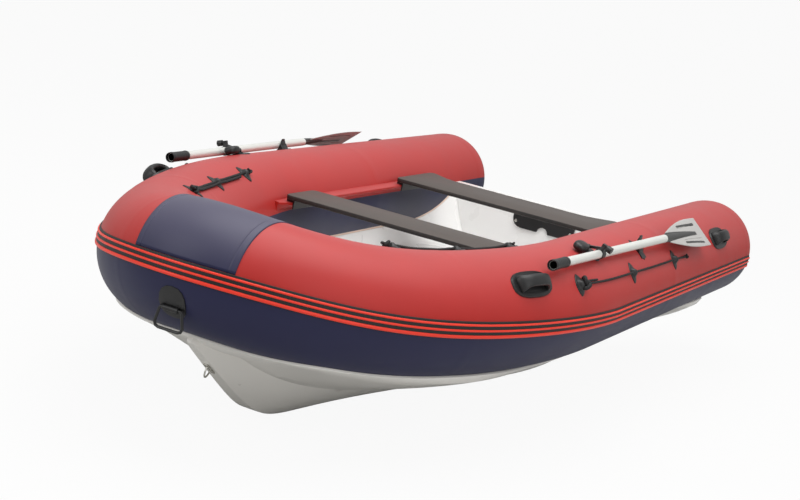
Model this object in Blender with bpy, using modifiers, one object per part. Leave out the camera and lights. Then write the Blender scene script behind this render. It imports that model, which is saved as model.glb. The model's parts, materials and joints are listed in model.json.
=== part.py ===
"""Rigid inflatable boat: a 3.7 m tender with a moulded V hull and three air chambers.

Frame: X forward, Y to port, Z up, in metres. The origin is on the ground under the middle of the boat.
Places along the boat are x, forward of the stern ends of the tubes' straight runs. Angles round a tube
are in degrees: 0 outboard, 90 on top, 180 inboard. The port side is modelled and then mirrored.
"""

import math

import bmesh
import bpy
import numpy as np
from mathutils import Matrix, Vector
from mathutils.bvhtree import BVHTree

# Between pieces that touch, and under a sheet that follows the bow's double curve
GAP = 0.0003
SHEET_GAP = 0.0008

# Air tubes
TUBE_RADIUS = 0.215
TUBE_SPACING = 1.392
STRAIGHT_RUN = 1.872
BOW_LENGTH = 1.440
BOW_HOLD = 0.806
BOW_SHOULDER = 0.295
BOW_TWIST = 13.2
SHEER_LENGTH = 0.937
SHEER_RISE = 0.0823
SHEER_POWER = 3.937
DOME_DEPTH = 0.150
DOME_ANGLES = (70, 52, 35, 18)
CHAMBER_SEAM_STATION = 7
TUBE_FACES = 32
BOW_STEPS = 13
BOW_EASE = 1.3
INNER_COLOUR_ANGLE = 168.0

# Rubbing strake: its ribs, from the bottom, as shares of its width and heights
STRAKE_BOTTOM = -13.4
STRAKE_TOP = 2.7
STRAKE_HEIGHT = 0.008
STRAKE_GROOVE = 0.0045
STRAKE_RIBS = ((0.05, 0.24), (0.42, 0.55), (0.73, 0.86))

# Bow patch
PATCH_HALF_WIDTH = 0.182
PATCH_THICKNESS = 0.0015
PATCH_END_ANGLE = 166.0

# Hull
KEEL_DEPTH = 0.515
HULL_THICKNESS = 0.008
FLANGE_ANGLE = -60.0
FLANGE_ANGLE_BOW = -54.0
FLANGE_TUCK = -20.0
FLANGE_TUCK_START = 0.62
FLANGE_TUCK_END = 0.90
FLANGE_BAND = 8.0
FLANGE_STAND = 0.022
FLANGE_STAND_BOW = 0.002
FLANGE_STAND_START = 0.25
FLANGE_STAND_END = 0.65
CHINE_HALF = 0.550
CHINE_DEPTH = 0.340
CHINE_ENTRY_LENGTH = 1.440
CHINE_ENTRY_POWER = 1.3
CHINE_RISE = 0.309
CHINE_RISE_LENGTH = 0.900
CHINE_RISE_POWER = 3.53
CHINE_BELOW_BAND = 0.30
SOLE_HALF = 0.045
STEM_SLOPE = 0.74
STEM_ROUND = 0.120
STEM_START = STRAIGHT_RUN + BOW_LENGTH - 0.432
STEM_FLAT = 0.006
STEM_REACH = 0.050

# Deck liner
LINER_THICKNESS = 0.006
LINER_OUTER_ANGLE = -100.0
LINER_LIP_ANGLE = -142.0
LINER_STERN_ANGLE = -182.0
LINER_SWEEP_START = 0.720
LINER_SWEEP_POWER = 0.55
LINER_STERN_RUN = 0.020
FLOOR_DEPTH = 0.220
LINER_SIDE_SLOPE = 0.035
LINER_STERN_SLOPE = 0.085

# Transom
TRANSOM_AFT = 0.285
TRANSOM_THICKNESS = 0.040
TRANSOM_TOP = 0.045
TRANSOM_SEAT = 0.0005
PAD_WIDTH = 0.315
PAD_TOP = 0.041
PAD_BOTTOM = -0.090
PAD_THICKNESS = 0.012
PAD_CORNER = 0.045
PAD_NOTCH = 0.028
OUTER_PAD_WIDTH = 0.240
OUTER_PAD_BOTTOM = -0.130

# Seat rails and seats
RAIL_AFT = 0.600
RAIL_FRONT = 2.100
RAIL_TOP_ANGLE = 156.0
RAIL_LOW_ANGLE = 166.5
RAIL_DEPTH = 0.050
RAIL_LIP = 0.012
RAIL_NOSE = 0.060
SEAT_THICKNESS = 0.018
SEAT_ABOVE_RAIL = 0.02955
SEAT_ROUND = 0.003
FRONT_SEAT_EDGE = 2.040
FRONT_SEAT_WIDTH = 0.230
FRONT_SEAT_HALF = 0.472
FRONT_SEAT_CORNER = 0.025
AFT_SEAT_EDGE = 1.045
AFT_SEAT_WIDTH = 0.300
AFT_SEAT_HALF = 0.474
AFT_SEAT_FLARE = 0.070
AFT_SEAT_TAPER = 0.160
BRACKET_INSET = 0.020
BRACKET_DEPTH = 0.034
BRACKET_TONGUE = 0.005
BRACKET_TONGUE_DROP = 0.028
BRACKET_CLEARANCE = 0.001

# Carry handles
HANDLE_FRONT_X = STRAIGHT_RUN + 0.582
HANDLE_FRONT_ANGLE = 42.0
HANDLE_AFT_X = 0.475
HANDLE_AFT_ANGLE = 37.0
HANDLE_HALF_LENGTH = 0.105
HANDLE_HALF_WIDTH = 0.050
HANDLE_BASE = 0.005
HANDLE_GRIP_RADIUS = 0.0115
HANDLE_GRIP_HALF = 0.068
HANDLE_GRIP_HEIGHT = 0.048
HANDLE_GRIP_SQUARE = 2.7

# Lifelines and their eyelets
ROPE_RADIUS = 0.004
EYELET_HALF_LENGTH = 0.023
EYELET_HALF_WIDTH = 0.040
EYELET_BASE = 0.0035
EYELET_ARCH_RADIUS = 0.0105
EYELET_LEG = 0.0075
EYELET_WIRE = 0.0036
ROPE_ON_TUBE = 0.0055
ROPE_STEP = 0.036
OUTER_EYELETS = ((STRAIGHT_RUN + 0.303, 35.0), (STRAIGHT_RUN - 0.192, 32.0), (STRAIGHT_RUN - 0.712, 30.5))
INNER_EYELETS = ((STRAIGHT_RUN + 1.019, 111.0), (STRAIGHT_RUN + 0.692, 118.0), (STRAIGHT_RUN + 0.368, 119.0))
OUTER_TAIL = ((STRAIGHT_RUN - 0.787, 30.0), (STRAIGHT_RUN - 0.862, 29.5))
OUTER_LEAD = ((STRAIGHT_RUN + 0.350, 35.0),)
OUTER_DROOP = 1.6
INNER_TAIL = ((STRAIGHT_RUN + 0.303, 119.5), (STRAIGHT_RUN + 0.248, 119.0))
INNER_LEAD = ((STRAIGHT_RUN + 1.058, 111.0),)
INNER_DROOP = -1.2

# Rowlocks and oars
ROWLOCK_X = STRAIGHT_RUN + 0.078
ROWLOCK_ANGLE = 71.0
ROWLOCK_PAD_FRONT = 0.032
ROWLOCK_PAD_AFT = 0.050
ROWLOCK_PAD_IN = 0.046
ROWLOCK_PAD_OUT = 0.062
ROWLOCK_PAD_BASE = 0.0028
POST_RADIUS = 0.019
POST_HEIGHT = 0.0050
CRADLE_RADIUS = 0.018
CRADLE_HEIGHT = 0.0030
EAR_THICKNESS = 0.005
EAR_SPREAD = 0.0135
BARREL_RADIUS = 0.0075
BARREL_HEIGHT = 0.0175
OAR_OFFSET = 0.0565
OAR_HEIGHT = 0.0203
OAR_TOE = -0.7
SHAFT_RADIUS = 0.0165
COLLAR_CLEARANCE = 0.0005
COLLAR_WALL = 0.0025
COLLAR_HALF = 0.015
ARM_THICKNESS = 0.006
LUG_HEIGHT = 0.022
LUG_RADIUS = 0.008
PIN_RADIUS = 0.0035
KNOB_RADIUS = 0.0130
KNOB_LENGTH = 0.022
KNOB_STAND = 0.012
KNOB_RIBS = 10
SHAFT_AHEAD = 0.428
SHAFT_ASTERN = 0.690
SLEEVE_RADIUS = 0.0205
SLEEVE_LENGTH = 0.120
SLEEVE_OPEN = 0.012
BLADE_LENGTH = 0.490
BLADE_HALF = 0.070
BLADE_PLATE = 0.0050
BLADE_RIB = 0.0155
BLADE_DROP = 0.010
BLADE_SET = 0.004
BLADE_ROLL = -22.0

# Oar clips
CLIP_X = ROWLOCK_X - 0.455
CLIP_HALF_LENGTH = 0.024
CLIP_PLATE = 0.0035
CLIP_OUT = 0.044
CLIP_IN = 0.036
CLIP_CLEARANCE = 0.0020
CLIP_ARM = 0.006
CLIP_ARM_TURN = 72
CLIP_LIP = 0.0100
CLIP_LIP_OUT = 0.018
CLIP_LIP_SLOPE = 0.003
CLIP_SINK = 0.012
CLIP_EDGE = 0.002
CLIP_TAPER = 0.010

# Towing point under the bow, and the eye on the stem
TOW_ANGLE = -24.0
TOW_HALF_LENGTH = 0.060
TOW_HALF_WIDTH = 0.050
TOW_BASE = 0.003
TOW_LOOP_ANGLE = -28.0
TOW_LOOP_RADIUS = 0.0085
TOW_LOOP_HALF = 0.027
RING_WIRE = 0.0042
RING_CLEARANCE = 0.0006
RING_TOP_HALF = 0.038
RING_BOTTOM_HALF = 0.052
RING_DROP = 0.068
RING_ROUND = 0.016
EYE_X = STRAIGHT_RUN + BOW_LENGTH - 0.096
EYE_PLATE_HALF = 0.033
EYE_PLATE_WIDTH = 0.020
EYE_PLATE_THICKNESS = 0.004
EYE_WIRE = 0.0032
EYE_HALF = 0.015
EYE_REACH = 0.034

# Inflation valves
VALVE_RADIUS = 0.024
VALVE_HEIGHT = 0.010
VALVE_X = 0.150
VALVE_ANGLE = 186.0
BOW_VALVE_STATION = 1.62
BOW_VALVE_ANGLE = 150.0

FINISHES = {
    "red_fabric": ((0.55, 0.060, 0.045), 0.42, 0.0),
    "navy_fabric": ((0.030, 0.032, 0.062), 0.45, 0.0),
    "black_rubber": ((0.016, 0.016, 0.018), 0.55, 0.0),
    "hull_gelcoat": ((0.42, 0.41, 0.39), 0.30, 0.0),
    "liner_gelcoat": ((0.80, 0.80, 0.78), 0.28, 0.0),
    "seat_board": ((0.19, 0.155, 0.125), 0.50, 0.0),
    "oar_alloy": ((0.76, 0.77, 0.74), 0.32, 0.6),
    "oar_plastic": ((0.30, 0.30, 0.29), 0.45, 0.0),
    "black_plastic": ((0.014, 0.014, 0.015), 0.40, 0.0),
    "rope": ((0.012, 0.012, 0.013), 0.80, 0.0),
    "stainless": ((0.56, 0.55, 0.52), 0.25, 1.0),
}

HALF_SPACING = TUBE_SPACING / 2
TIP_X = STRAIGHT_RUN + BOW_LENGTH
SHEER_START = TIP_X - SHEER_LENGTH
DOME_REACH = DOME_DEPTH * math.sin(math.radians(DOME_ANGLES[0]))
BOW_REACH = TIP_X + TUBE_RADIUS + GAP + STRAKE_HEIGHT
ORIGIN = np.array([(DOME_REACH - BOW_REACH) / 2, 0.0, KEEL_DEPTH])
STRAKE_MIDDLE = (STRAKE_BOTTOM + STRAKE_TOP) / 2
RAIL_TOP = TUBE_RADIUS * math.sin(math.radians(RAIL_TOP_ANGLE))
SEAT_TOP = RAIL_TOP + SEAT_ABOVE_RAIL
TRANSOM_INNER = TRANSOM_AFT + TRANSOM_THICKNESS
ROPE_IN_EYELET = EYELET_LEG + EYELET_ARCH_RADIUS - EYELET_WIRE - GAP - ROPE_RADIUS

parts = bpy.data.collections.new("rigid_inflatable_boat")
cutters = bpy.data.collections.new("cutters")


def clear_scene():
    for item in list(bpy.data.objects):
        bpy.data.objects.remove(item, do_unlink=True)
    bpy.context.scene.collection.children.link(parts)
    bpy.context.scene.collection.children.link(cutters)


# Geometry of the tubes


def bow_point(k):
    """The tube's centreline over the bow: k is 0 at the end of the straight run and 1 at the tip."""
    points = np.array([
        (STRAIGHT_RUN, HALF_SPACING),
        (STRAIGHT_RUN + BOW_HOLD, HALF_SPACING),
        (TIP_X, BOW_SHOULDER),
        (TIP_X, 0.0),
    ])
    weights = np.array([(1 - k) ** 3, 3 * k * (1 - k) ** 2, 3 * k * k * (1 - k), k ** 3])
    return weights @ points


def centre_point(s):
    """The port centreline: s runs from 0 at the stern over 1 at the bow's start to 2 at the tip."""
    x, y = (s * STRAIGHT_RUN, HALF_SPACING) if s <= 1 else bow_point(s - 1)
    rise = max(0.0, (x - SHEER_START) / SHEER_LENGTH)
    return np.array([x, y, SHEER_RISE * rise ** SHEER_POWER])


def tube_axes(s):
    """Centre, direction, outboard, up and the strake's turn at s."""
    step = 1e-4
    run = centre_point(min(2.0, s + step)) - centre_point(max(0.0, s - step))
    if s > 2.0 - step:
        run = np.array([0.0, -1.0, 0.0])
    run = run / np.linalg.norm(run)
    outboard = np.array([-run[1], run[0], 0.0])
    outboard = outboard / np.linalg.norm(outboard)
    upward = np.cross(run, outboard)
    middle = centre_point(s)
    turn = BOW_TWIST * max(0.0, middle[0] - STRAIGHT_RUN) / BOW_LENGTH
    return middle, run, outboard, upward, turn


STATIONS = [0.0, 0.5, 1.0]
STATIONS += [2.0 - (1 - step / BOW_STEPS) ** BOW_EASE for step in range(1, BOW_STEPS + 1)]
AXES = [tube_axes(s) for s in STATIONS]


def tube_angles():
    """Angles of the tube's faces, from the middle of the strake, with one on the inner colour line."""
    half = TUBE_FACES // 2
    upper = (INNER_COLOUR_ANGLE - STRAKE_MIDDLE) / half
    lower = (360 - INNER_COLOUR_ANGLE + STRAKE_MIDDLE) / half
    angles = [STRAKE_MIDDLE + upper * step for step in range(half)]
    return angles + [INNER_COLOUR_ANGLE + lower * step for step in range(half)]


TUBE_ANGLES = tube_angles()


def arc(start, end):
    """Angles from start to end, with the tube's own between, so that what lies on it fits its faces."""
    low, high = min(start, end), max(start, end)
    grid = [angle + turn for angle in TUBE_ANGLES for turn in (-360, 0)]
    inner = sorted(angle for angle in grid if low + 0.2 < angle < high - 0.2)
    found = [low] + inner + [high]
    return found if start < end else found[::-1]


def station_point(index, angle, height):
    middle, run, outboard, upward, turn = AXES[index]
    turned = math.radians(angle + turn)
    return middle + (TUBE_RADIUS + height) * (math.cos(turned) * outboard + math.sin(turned) * upward)


def tube_point(s, angle, height=0.0):
    """A point on the port tube's faces or above them. The angle is taken from the strake's line."""
    index = max(0, min(len(STATIONS) - 2, int(np.searchsorted(STATIONS, s, side="right")) - 1))
    share = (s - STATIONS[index]) / (STATIONS[index + 1] - STATIONS[index])
    here = station_point(index, angle, height)
    there = station_point(index + 1, angle, height)
    return here * (1 - share) + there * share + ORIGIN


def s_at(x):
    """The centreline's s at a distance forward of the stern."""
    low, high = 0.0, 2.0
    for _ in range(40):
        middle = (low + high) / 2
        if centre_point(middle)[0] < x:
            low = middle
        else:
            high = middle
    return (low + high) / 2


def stations_between(low, high, extra=()):
    inner = [s for s in list(STATIONS) + list(extra) if low + 1e-3 < s < high - 1e-3]
    return [low] + sorted(inner) + [high]


def seat(x, angle, height=0.0):
    """A frame on the port tube: X round it towards the top, Y forward, Z straight out."""
    s = s_at(x)
    middle, run, outboard, upward, turn = tube_axes(s)
    turned = math.radians(angle)
    out = math.cos(turned) * outboard + math.sin(turned) * upward
    around = -math.sin(turned) * outboard + math.cos(turned) * upward
    place = tube_point(s, angle - turn, height)
    frame = Matrix.Identity(4)
    for column, axis in enumerate((around, run, out, place)):
        for row in range(3):
            frame[row][column] = axis[row]
    return frame


def at(x, y, z):
    """A point given forward of the stern, to port and above the tubes' centrelines."""
    return np.array([x, y, z]) + ORIGIN


# Making objects


def material(finish):
    found = bpy.data.materials.get(finish)
    if found:
        return found
    colour, roughness, metallic = FINISHES[finish]
    made = bpy.data.materials.new(finish)
    made.use_nodes = True
    shader = made.node_tree.nodes["Principled BSDF"]
    shader.inputs["Base Color"].default_value = (*colour, 1.0)
    shader.inputs["Roughness"].default_value = roughness
    shader.inputs["Metallic"].default_value = metallic
    made.diffuse_color = (*colour, 1.0)
    return made


def add_object(name, mesh, finish=None):
    """An object in the boat's collection, or a guide among the cutters where it has no finish."""
    item = bpy.data.objects.new(name, mesh)
    if finish:
        parts.objects.link(item)
        mesh.materials.clear()
        mesh.materials.append(material(finish))
    else:
        cutters.objects.link(item)
        item.hide_render = True
        item.display_type = "WIRE"
    return item


def close_mesh(mesh, doubles=1e-6):
    work = bmesh.new()
    work.from_mesh(mesh)
    bmesh.ops.remove_doubles(work, verts=work.verts, dist=doubles)
    bmesh.ops.recalc_face_normals(work, faces=work.faces)
    work.to_mesh(mesh)
    work.free()
    mesh.shade_smooth()
    mesh.set_sharp_from_angle(angle=math.radians(35))


def loft(name, rings, finish=None, half=False):
    """Closed rings of one count of points, joined in order, with a flat face at each end.

    The faces are triangles that all lean one way, so that a sheet fits the tube under it. A half is
    left open at its last ring, on the middle plane of the boat, and a Mirror completes it.
    """
    count = len(rings[0])
    points = [tuple(point) for ring in rings for point in ring]
    faces = []
    for row in range(len(rings) - 1):
        for column in range(count):
            here = row * count + column
            beside = row * count + (column + 1) % count
            faces.append((here, beside, beside + count))
            faces.append((here, beside + count, here + count))
    last = (len(rings) - 1) * count
    faces.append(tuple(range(count - 1, -1, -1)))
    if not half:
        faces.append(tuple(range(last, last + count)))
    mesh = bpy.data.meshes.new(name)
    mesh.from_pydata(points, [], faces)
    close_mesh(mesh)
    item = add_object(name, mesh, finish)
    if half:
        add_mirror(item)
    return item


def add_mirror(item):
    mirror = item.modifiers.new("both_sides", "MIRROR")
    mirror.use_axis = (False, True, False)
    mirror.use_clip = True
    mirror.merge_threshold = 1e-4


def solid(name, build, finish=None, matrix=None):
    """A solid from bmesh primitives, placed by its matrix."""
    work = bmesh.new()
    build(work)
    mesh = bpy.data.meshes.new(name)
    work.to_mesh(mesh)
    work.free()
    close_mesh(mesh)
    item = add_object(name, mesh, finish)
    if matrix is not None:
        item.matrix_world = matrix
    return item


def box(name, low, high, finish=None, matrix=None):
    low, high = Vector(low), Vector(high)

    def build(work):
        bmesh.ops.create_cube(work, size=1.0)
        bmesh.ops.scale(work, vec=high - low, verts=work.verts)
        bmesh.ops.translate(work, vec=(high + low) / 2, verts=work.verts)

    return solid(name, build, finish, matrix)


def rod(name, radius, start, end, finish=None, matrix=None, sides=16):
    """A cylinder from start to end."""
    start, end = Vector(start), Vector(end)

    def build(work):
        length = (end - start).length
        bmesh.ops.create_cone(work, cap_ends=True, segments=sides, radius1=radius, radius2=radius,
                              depth=length)
        turn = (end - start).to_track_quat("Z", "Y").to_matrix().to_4x4()
        bmesh.ops.transform(work, matrix=Matrix.Translation((start + end) / 2) @ turn, verts=work.verts)

    return solid(name, build, finish, matrix)


def turned(name, profile, finish=None, matrix=None, steps=16, ring=False):
    """A profile of radius and height, from the top down its outer side, turned round Z."""
    mesh = bpy.data.meshes.new(name)
    points = [(radius, 0.0, height) for radius, height in profile]
    edges = [(index, index + 1) for index in range(len(points) - 1)]
    if ring:
        edges.append((len(points) - 1, 0))
    mesh.from_pydata(points, edges, [])
    item = add_object(name, mesh, finish)
    screw = item.modifiers.new("turn", "SCREW")
    screw.steps = steps
    screw.render_steps = steps
    screw.use_merge_vertices = True
    screw.merge_threshold = 1e-5
    screw.use_smooth_shade = True
    if matrix is not None:
        item.matrix_world = matrix
    return item


def to_mesh(curve_item, name, finish=None):
    """The curve's evaluated mesh with its caps welded, as a new object in the same place."""
    bpy.context.view_layer.update()
    seen = curve_item.evaluated_get(bpy.context.evaluated_depsgraph_get())
    mesh = bpy.data.meshes.new_from_object(seen)
    close_mesh(mesh, doubles=1e-5)
    item = add_object(name, mesh, finish)
    item.matrix_world = curve_item.matrix_world.copy()
    bpy.data.objects.remove(curve_item, do_unlink=True)
    return item


def wire(name, points, radius, finish=None, matrix=None, cyclic=False, resolution=2):
    """A round wire through the points."""
    curve = bpy.data.curves.new(name, "CURVE")
    curve.dimensions = "3D"
    curve.bevel_depth = radius
    curve.bevel_resolution = resolution
    curve.use_fill_caps = not cyclic
    spline = curve.splines.new("POLY")
    spline.points.add(len(points) - 1)
    for place, point in zip(spline.points, points):
        place.co = (*point, 1.0)
    spline.use_cyclic_u = cyclic
    item = bpy.data.objects.new(name + "_curve", curve)
    cutters.objects.link(item)
    if matrix is not None:
        item.matrix_world = matrix
    return to_mesh(item, name, finish)


def plate(name, outline, thickness, finish=None, matrix=None):
    """A flat outline in X and Y, of half its thickness to either side."""
    curve = bpy.data.curves.new(name, "CURVE")
    curve.dimensions = "2D"
    curve.fill_mode = "BOTH"
    curve.extrude = thickness / 2
    spline = curve.splines.new("POLY")
    spline.points.add(len(outline) - 1)
    for place, (x, y) in zip(spline.points, outline):
        place.co = (x, y, 0.0, 1.0)
    spline.use_cyclic_u = True
    item = bpy.data.objects.new(name + "_curve", curve)
    cutters.objects.link(item)
    if matrix is not None:
        item.matrix_world = matrix
    return to_mesh(item, name, finish)


def combine(item, tool, operation):
    """Joins a guide to the object, or cuts it away, by a Boolean modifier."""
    change = item.modifiers.new(operation.lower(), "BOOLEAN")
    change.operation = operation
    change.solver = "EXACT"
    change.object = tool
    return item


def round_edges(item, width, segments=2):
    bevel = item.modifiers.new("round", "BEVEL")
    bevel.width = width
    bevel.segments = segments
    bevel.limit_method = "ANGLE"
    bevel.angle_limit = math.radians(40)


def mirrored(item, name):
    """The starboard twin of a port piece, as its own mesh about its own mirrored origin."""
    bpy.context.view_layer.update()
    seen = item.evaluated_get(bpy.context.evaluated_depsgraph_get())
    mesh = bpy.data.meshes.new_from_object(seen)
    flip = Matrix.Diagonal((1, -1, 1, 1))
    origin = flip @ item.matrix_world.translation
    mesh.transform(Matrix.Translation(-origin) @ flip @ item.matrix_world)
    mesh.flip_normals()
    twin = bpy.data.objects.new(name, mesh)
    parts.objects.link(twin)
    twin.location = origin
    return twin


def both_sides(item):
    return item, mirrored(item, item.name.replace("_port", "_starboard"))


def round_the_bow(name, ring_at, first, finish=None):
    """A loft from a port station to the tip, and its twin."""
    return loft(name, [ring_at(s) for s in stations_between(first, 2.0)], finish, half=True)


def smooth_path(points, step):
    """A smooth curve through the given points, with others about a step apart between them."""
    points = [np.array(point, float) for point in points]
    ends = [2 * points[0] - points[1]] + points + [2 * points[-1] - points[-2]]
    path = []
    for a, b, c, d in zip(ends, ends[1:], ends[2:], ends[3:]):
        count = max(1, round(np.linalg.norm(c - b) / step))
        for t in np.linspace(0, 1, count, endpoint=False):
            path.append(0.5 * (2 * b + (c - a) * t + (2 * a - 5 * b + 4 * c - d) * t * t
                               + (3 * b - a - 3 * c + d) * t ** 3))
    return path + [points[-1]]


# Air chambers, strake and patch


def tube_ring(s, height=0.0):
    return [tube_point(s, angle, height) for angle in TUBE_ANGLES]


def dome_rings(height=0.0):
    rings = []
    for angle in DOME_ANGLES:
        radius = (TUBE_RADIUS + height) * math.cos(math.radians(angle))
        back = np.array([-DOME_DEPTH * math.sin(math.radians(angle)), 0.0, 0.0])
        rings.append([tube_point(0.0, around, radius - TUBE_RADIUS) + back for around in TUBE_ANGLES])
    return rings


def paint_lower_half(item):
    """The tube's lower half is navy: below the strake and below the inner colour line."""
    item.data.materials.append(material("navy_fabric"))
    half = TUBE_FACES // 2
    for face in item.data.polygons:
        columns = {vertex % TUBE_FACES for vertex in face.vertices}
        if len(face.vertices) == 3:
            face.material_index = 1 if columns <= set(range(half, TUBE_FACES)) | {0} else 0


def make_chambers():
    seam = STATIONS[CHAMBER_SEAM_STATION]
    run = tube_axes(seam)[1]
    aft = [s for s in STATIONS if s < seam]
    side_rings = dome_rings() + [tube_ring(s) for s in aft]
    side_rings.append([point - run * GAP / 2 for point in tube_ring(seam)])
    port = loft("chamber_port", side_rings, "red_fabric")
    paint_lower_half(port)
    mirrored(port, "chamber_starboard")
    forward = [s for s in STATIONS if s > seam]
    rings = [[point + run * GAP / 2 for point in tube_ring(seam)]] + [tube_ring(s) for s in forward]
    paint_lower_half(loft("chamber_bow", rings, "red_fabric", half=True))


def make_tube_cutter():
    """Both tubes as one solid, a gap larger, which shapes the underside of what sits on them."""
    return loft("tube_cutter", dome_rings(GAP) + [tube_ring(s, GAP) for s in STATIONS], half=True)


def strake_outline():
    """The ribbed outer side, from the bottom, as angle and height."""
    width = STRAKE_TOP - STRAKE_BOTTOM
    outline = [(STRAKE_BOTTOM, STRAKE_GROOVE / 2)]
    for low, high in STRAKE_RIBS:
        ease = 0.2 * (high - low)
        outline.append((STRAKE_BOTTOM + width * (low - ease), STRAKE_GROOVE))
        outline.append((STRAKE_BOTTOM + width * (low + ease), STRAKE_HEIGHT))
        outline.append((STRAKE_BOTTOM + width * (high - ease), STRAKE_HEIGHT))
    outline.append((STRAKE_TOP, STRAKE_GROOVE / 2))
    return outline


def make_strake():
    outline = strake_outline()
    inside = arc(STRAKE_BOTTOM, STRAKE_TOP)

    def ring_at(s):
        outer = [tube_point(s, angle, GAP + height) for angle, height in outline[::-1]]
        return [tube_point(s, angle, GAP) for angle in inside] + outer

    round_the_bow("rubbing_strake", ring_at, 0.0, "black_rubber")


def make_bow_patch():
    start = STRAKE_TOP + math.degrees(GAP / TUBE_RADIUS)
    angles = arc(start, PATCH_END_ANGLE)

    def ring_at(s):
        outer = [tube_point(s, angle, SHEET_GAP + PATCH_THICKNESS) for angle in angles[::-1]]
        return [tube_point(s, angle, SHEET_GAP) for angle in angles] + outer

    first = max(s for s in STATIONS if tube_point(s, 180.0)[1] > PATCH_HALF_WIDTH)
    patch = round_the_bow("bow_patch", ring_at, first, "navy_fabric")
    room = TIP_X + 2 * TUBE_RADIUS
    strip = box("patch_trim", at(0, -PATCH_HALF_WIDTH, -1), at(room, PATCH_HALF_WIDTH, 1))
    combine(patch, strip, "INTERSECT")


# Hull, deck liner and transom


def keel_height(x):
    """The keel's outer line: flat, then sweeping up into the stem."""
    ahead = x - STEM_START
    rise = STEM_SLOPE / 2 * (ahead + math.hypot(ahead, STEM_ROUND)) - STEM_FLAT
    return -KEEL_DEPTH + max(0.0, rise)


def smooth_rise(value, start, end):
    """0 before the start and 1 after the end, with a smooth rise between."""
    share = min(1.0, max(0.0, (value - start) / (end - start)))
    return share * share * (3 - 2 * share)


def flange_line(s):
    """The flange's angle and its band's stand: it tucks under the bow's tip, close to the tube."""
    share = max(0.0, s - 1.0)
    climb = FLANGE_ANGLE + (FLANGE_ANGLE_BOW - FLANGE_ANGLE) * share
    angle = climb + FLANGE_TUCK * smooth_rise(share, FLANGE_TUCK_START, FLANGE_TUCK_END)
    inward = smooth_rise(share, FLANGE_STAND_START, FLANGE_STAND_END)
    return angle, FLANGE_STAND + (FLANGE_STAND_BOW - FLANGE_STAND) * inward


def chine_point(band, keel_x, keel_z):
    """The chine runs level from the stern, then draws in to a fine entry and climbs to the stem."""
    x = (band[0] + keel_x) / 2
    behind = TIP_X + STEM_REACH - x
    left = 1 - min(1.0, behind / CHINE_ENTRY_LENGTH)
    entry = CHINE_HALF * (1 - left ** CHINE_ENTRY_POWER)
    stern_band = HALF_SPACING + (TUBE_RADIUS + FLANGE_STAND) * math.cos(
        math.radians(FLANGE_ANGLE - FLANGE_BAND))
    under_tube = band[1] * CHINE_HALF / stern_band
    climb = max(0.0, 1 - behind / CHINE_RISE_LENGTH)
    rising = -CHINE_DEPTH + CHINE_RISE * climb ** CHINE_RISE_POWER
    highest = band[2] + (keel_z - band[2]) * CHINE_BELOW_BAND
    return np.array([x, min(entry, under_tube), min(rising, highest)])


def hull_section(s):
    """The hull's inner face at a station: flange, band, chine, edge of the sole and keel."""
    middle, run, outboard, upward, turn = tube_axes(s)
    angle, stand = flange_line(s)
    tip = angle - turn
    flange = tube_point(s, tip, SHEET_GAP) - ORIGIN
    band = tube_point(s, tip - FLANGE_BAND, stand) - ORIGIN
    keel_x = middle[0] + STEM_REACH * outboard[0]
    keel_z = keel_height(keel_x) + HULL_THICKNESS
    chine = chine_point(band, keel_x, keel_z)
    stem_start = STEM_START - 2 * STEM_ROUND
    taper = max(0.0, (keel_x - stem_start) / (TIP_X + STEM_REACH - stem_start))
    sole = min(SOLE_HALF * (1 - 0.75 * taper), chine[1])
    rows = [
        flange,
        band,
        chine,
        np.array([keel_x, sole, keel_z]),
        np.array([keel_x, 0.0, keel_z]),
    ]
    if s > 2.0 - 1e-6:
        rows = [row * np.array([1, 0, 1]) for row in rows]
    return [row + ORIGIN for row in rows]


def open_sheet(name, columns, thickness, finish, up):
    """A half surface that a Mirror completes and a Solidify thickens, away from its face."""
    rows = len(columns[0])
    points = [tuple(point) for column in columns for point in column]
    faces = []
    for column in range(len(columns) - 1):
        for row in range(rows - 1):
            here = column * rows + row
            faces.append((here, here + 1, here + rows))
            faces.append((here + 1, here + 1 + rows, here + rows))
    mesh = bpy.data.meshes.new(name)
    mesh.from_pydata(points, [], faces)
    work = bmesh.new()
    work.from_mesh(mesh)
    bmesh.ops.remove_doubles(work, verts=work.verts, dist=1e-5)
    bmesh.ops.recalc_face_normals(work, faces=work.faces)
    flattest = max(work.faces, key=lambda face: abs(face.normal.z) * face.calc_area())
    if (flattest.normal.z > 0) != up:
        bmesh.ops.reverse_faces(work, faces=work.faces)
    work.to_mesh(mesh)
    work.free()
    mesh.shade_smooth()
    mesh.set_sharp_from_angle(angle=math.radians(30))
    item = add_object(name, mesh, finish)
    add_mirror(item)
    shell = item.modifiers.new("wall", "SOLIDIFY")
    shell.thickness = thickness
    shell.offset = -1.0 if up else 1.0
    shell.use_even_offset = True
    return item


def make_hull():
    aft = s_at(TRANSOM_AFT)
    columns = [hull_section(s) for s in stations_between(aft, 2.0)]
    return open_sheet("hull_shell", columns, HULL_THICKNESS, "hull_gelcoat", up=False)


def liner_lips():
    """Where the liner's lip crosses each of the tube's angles on its sweep up to the transom."""
    angles = arc(LINER_LIP_ANGLE, LINER_STERN_ANGLE)
    length = LINER_SWEEP_START - TRANSOM_INNER - LINER_STERN_RUN
    climb = [(angle - angles[0]) / (angles[-1] - angles[0]) for angle in angles]
    return [(LINER_SWEEP_START - length * share ** LINER_SWEEP_POWER, angle)
            for share, angle in zip(climb, angles)]


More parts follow.
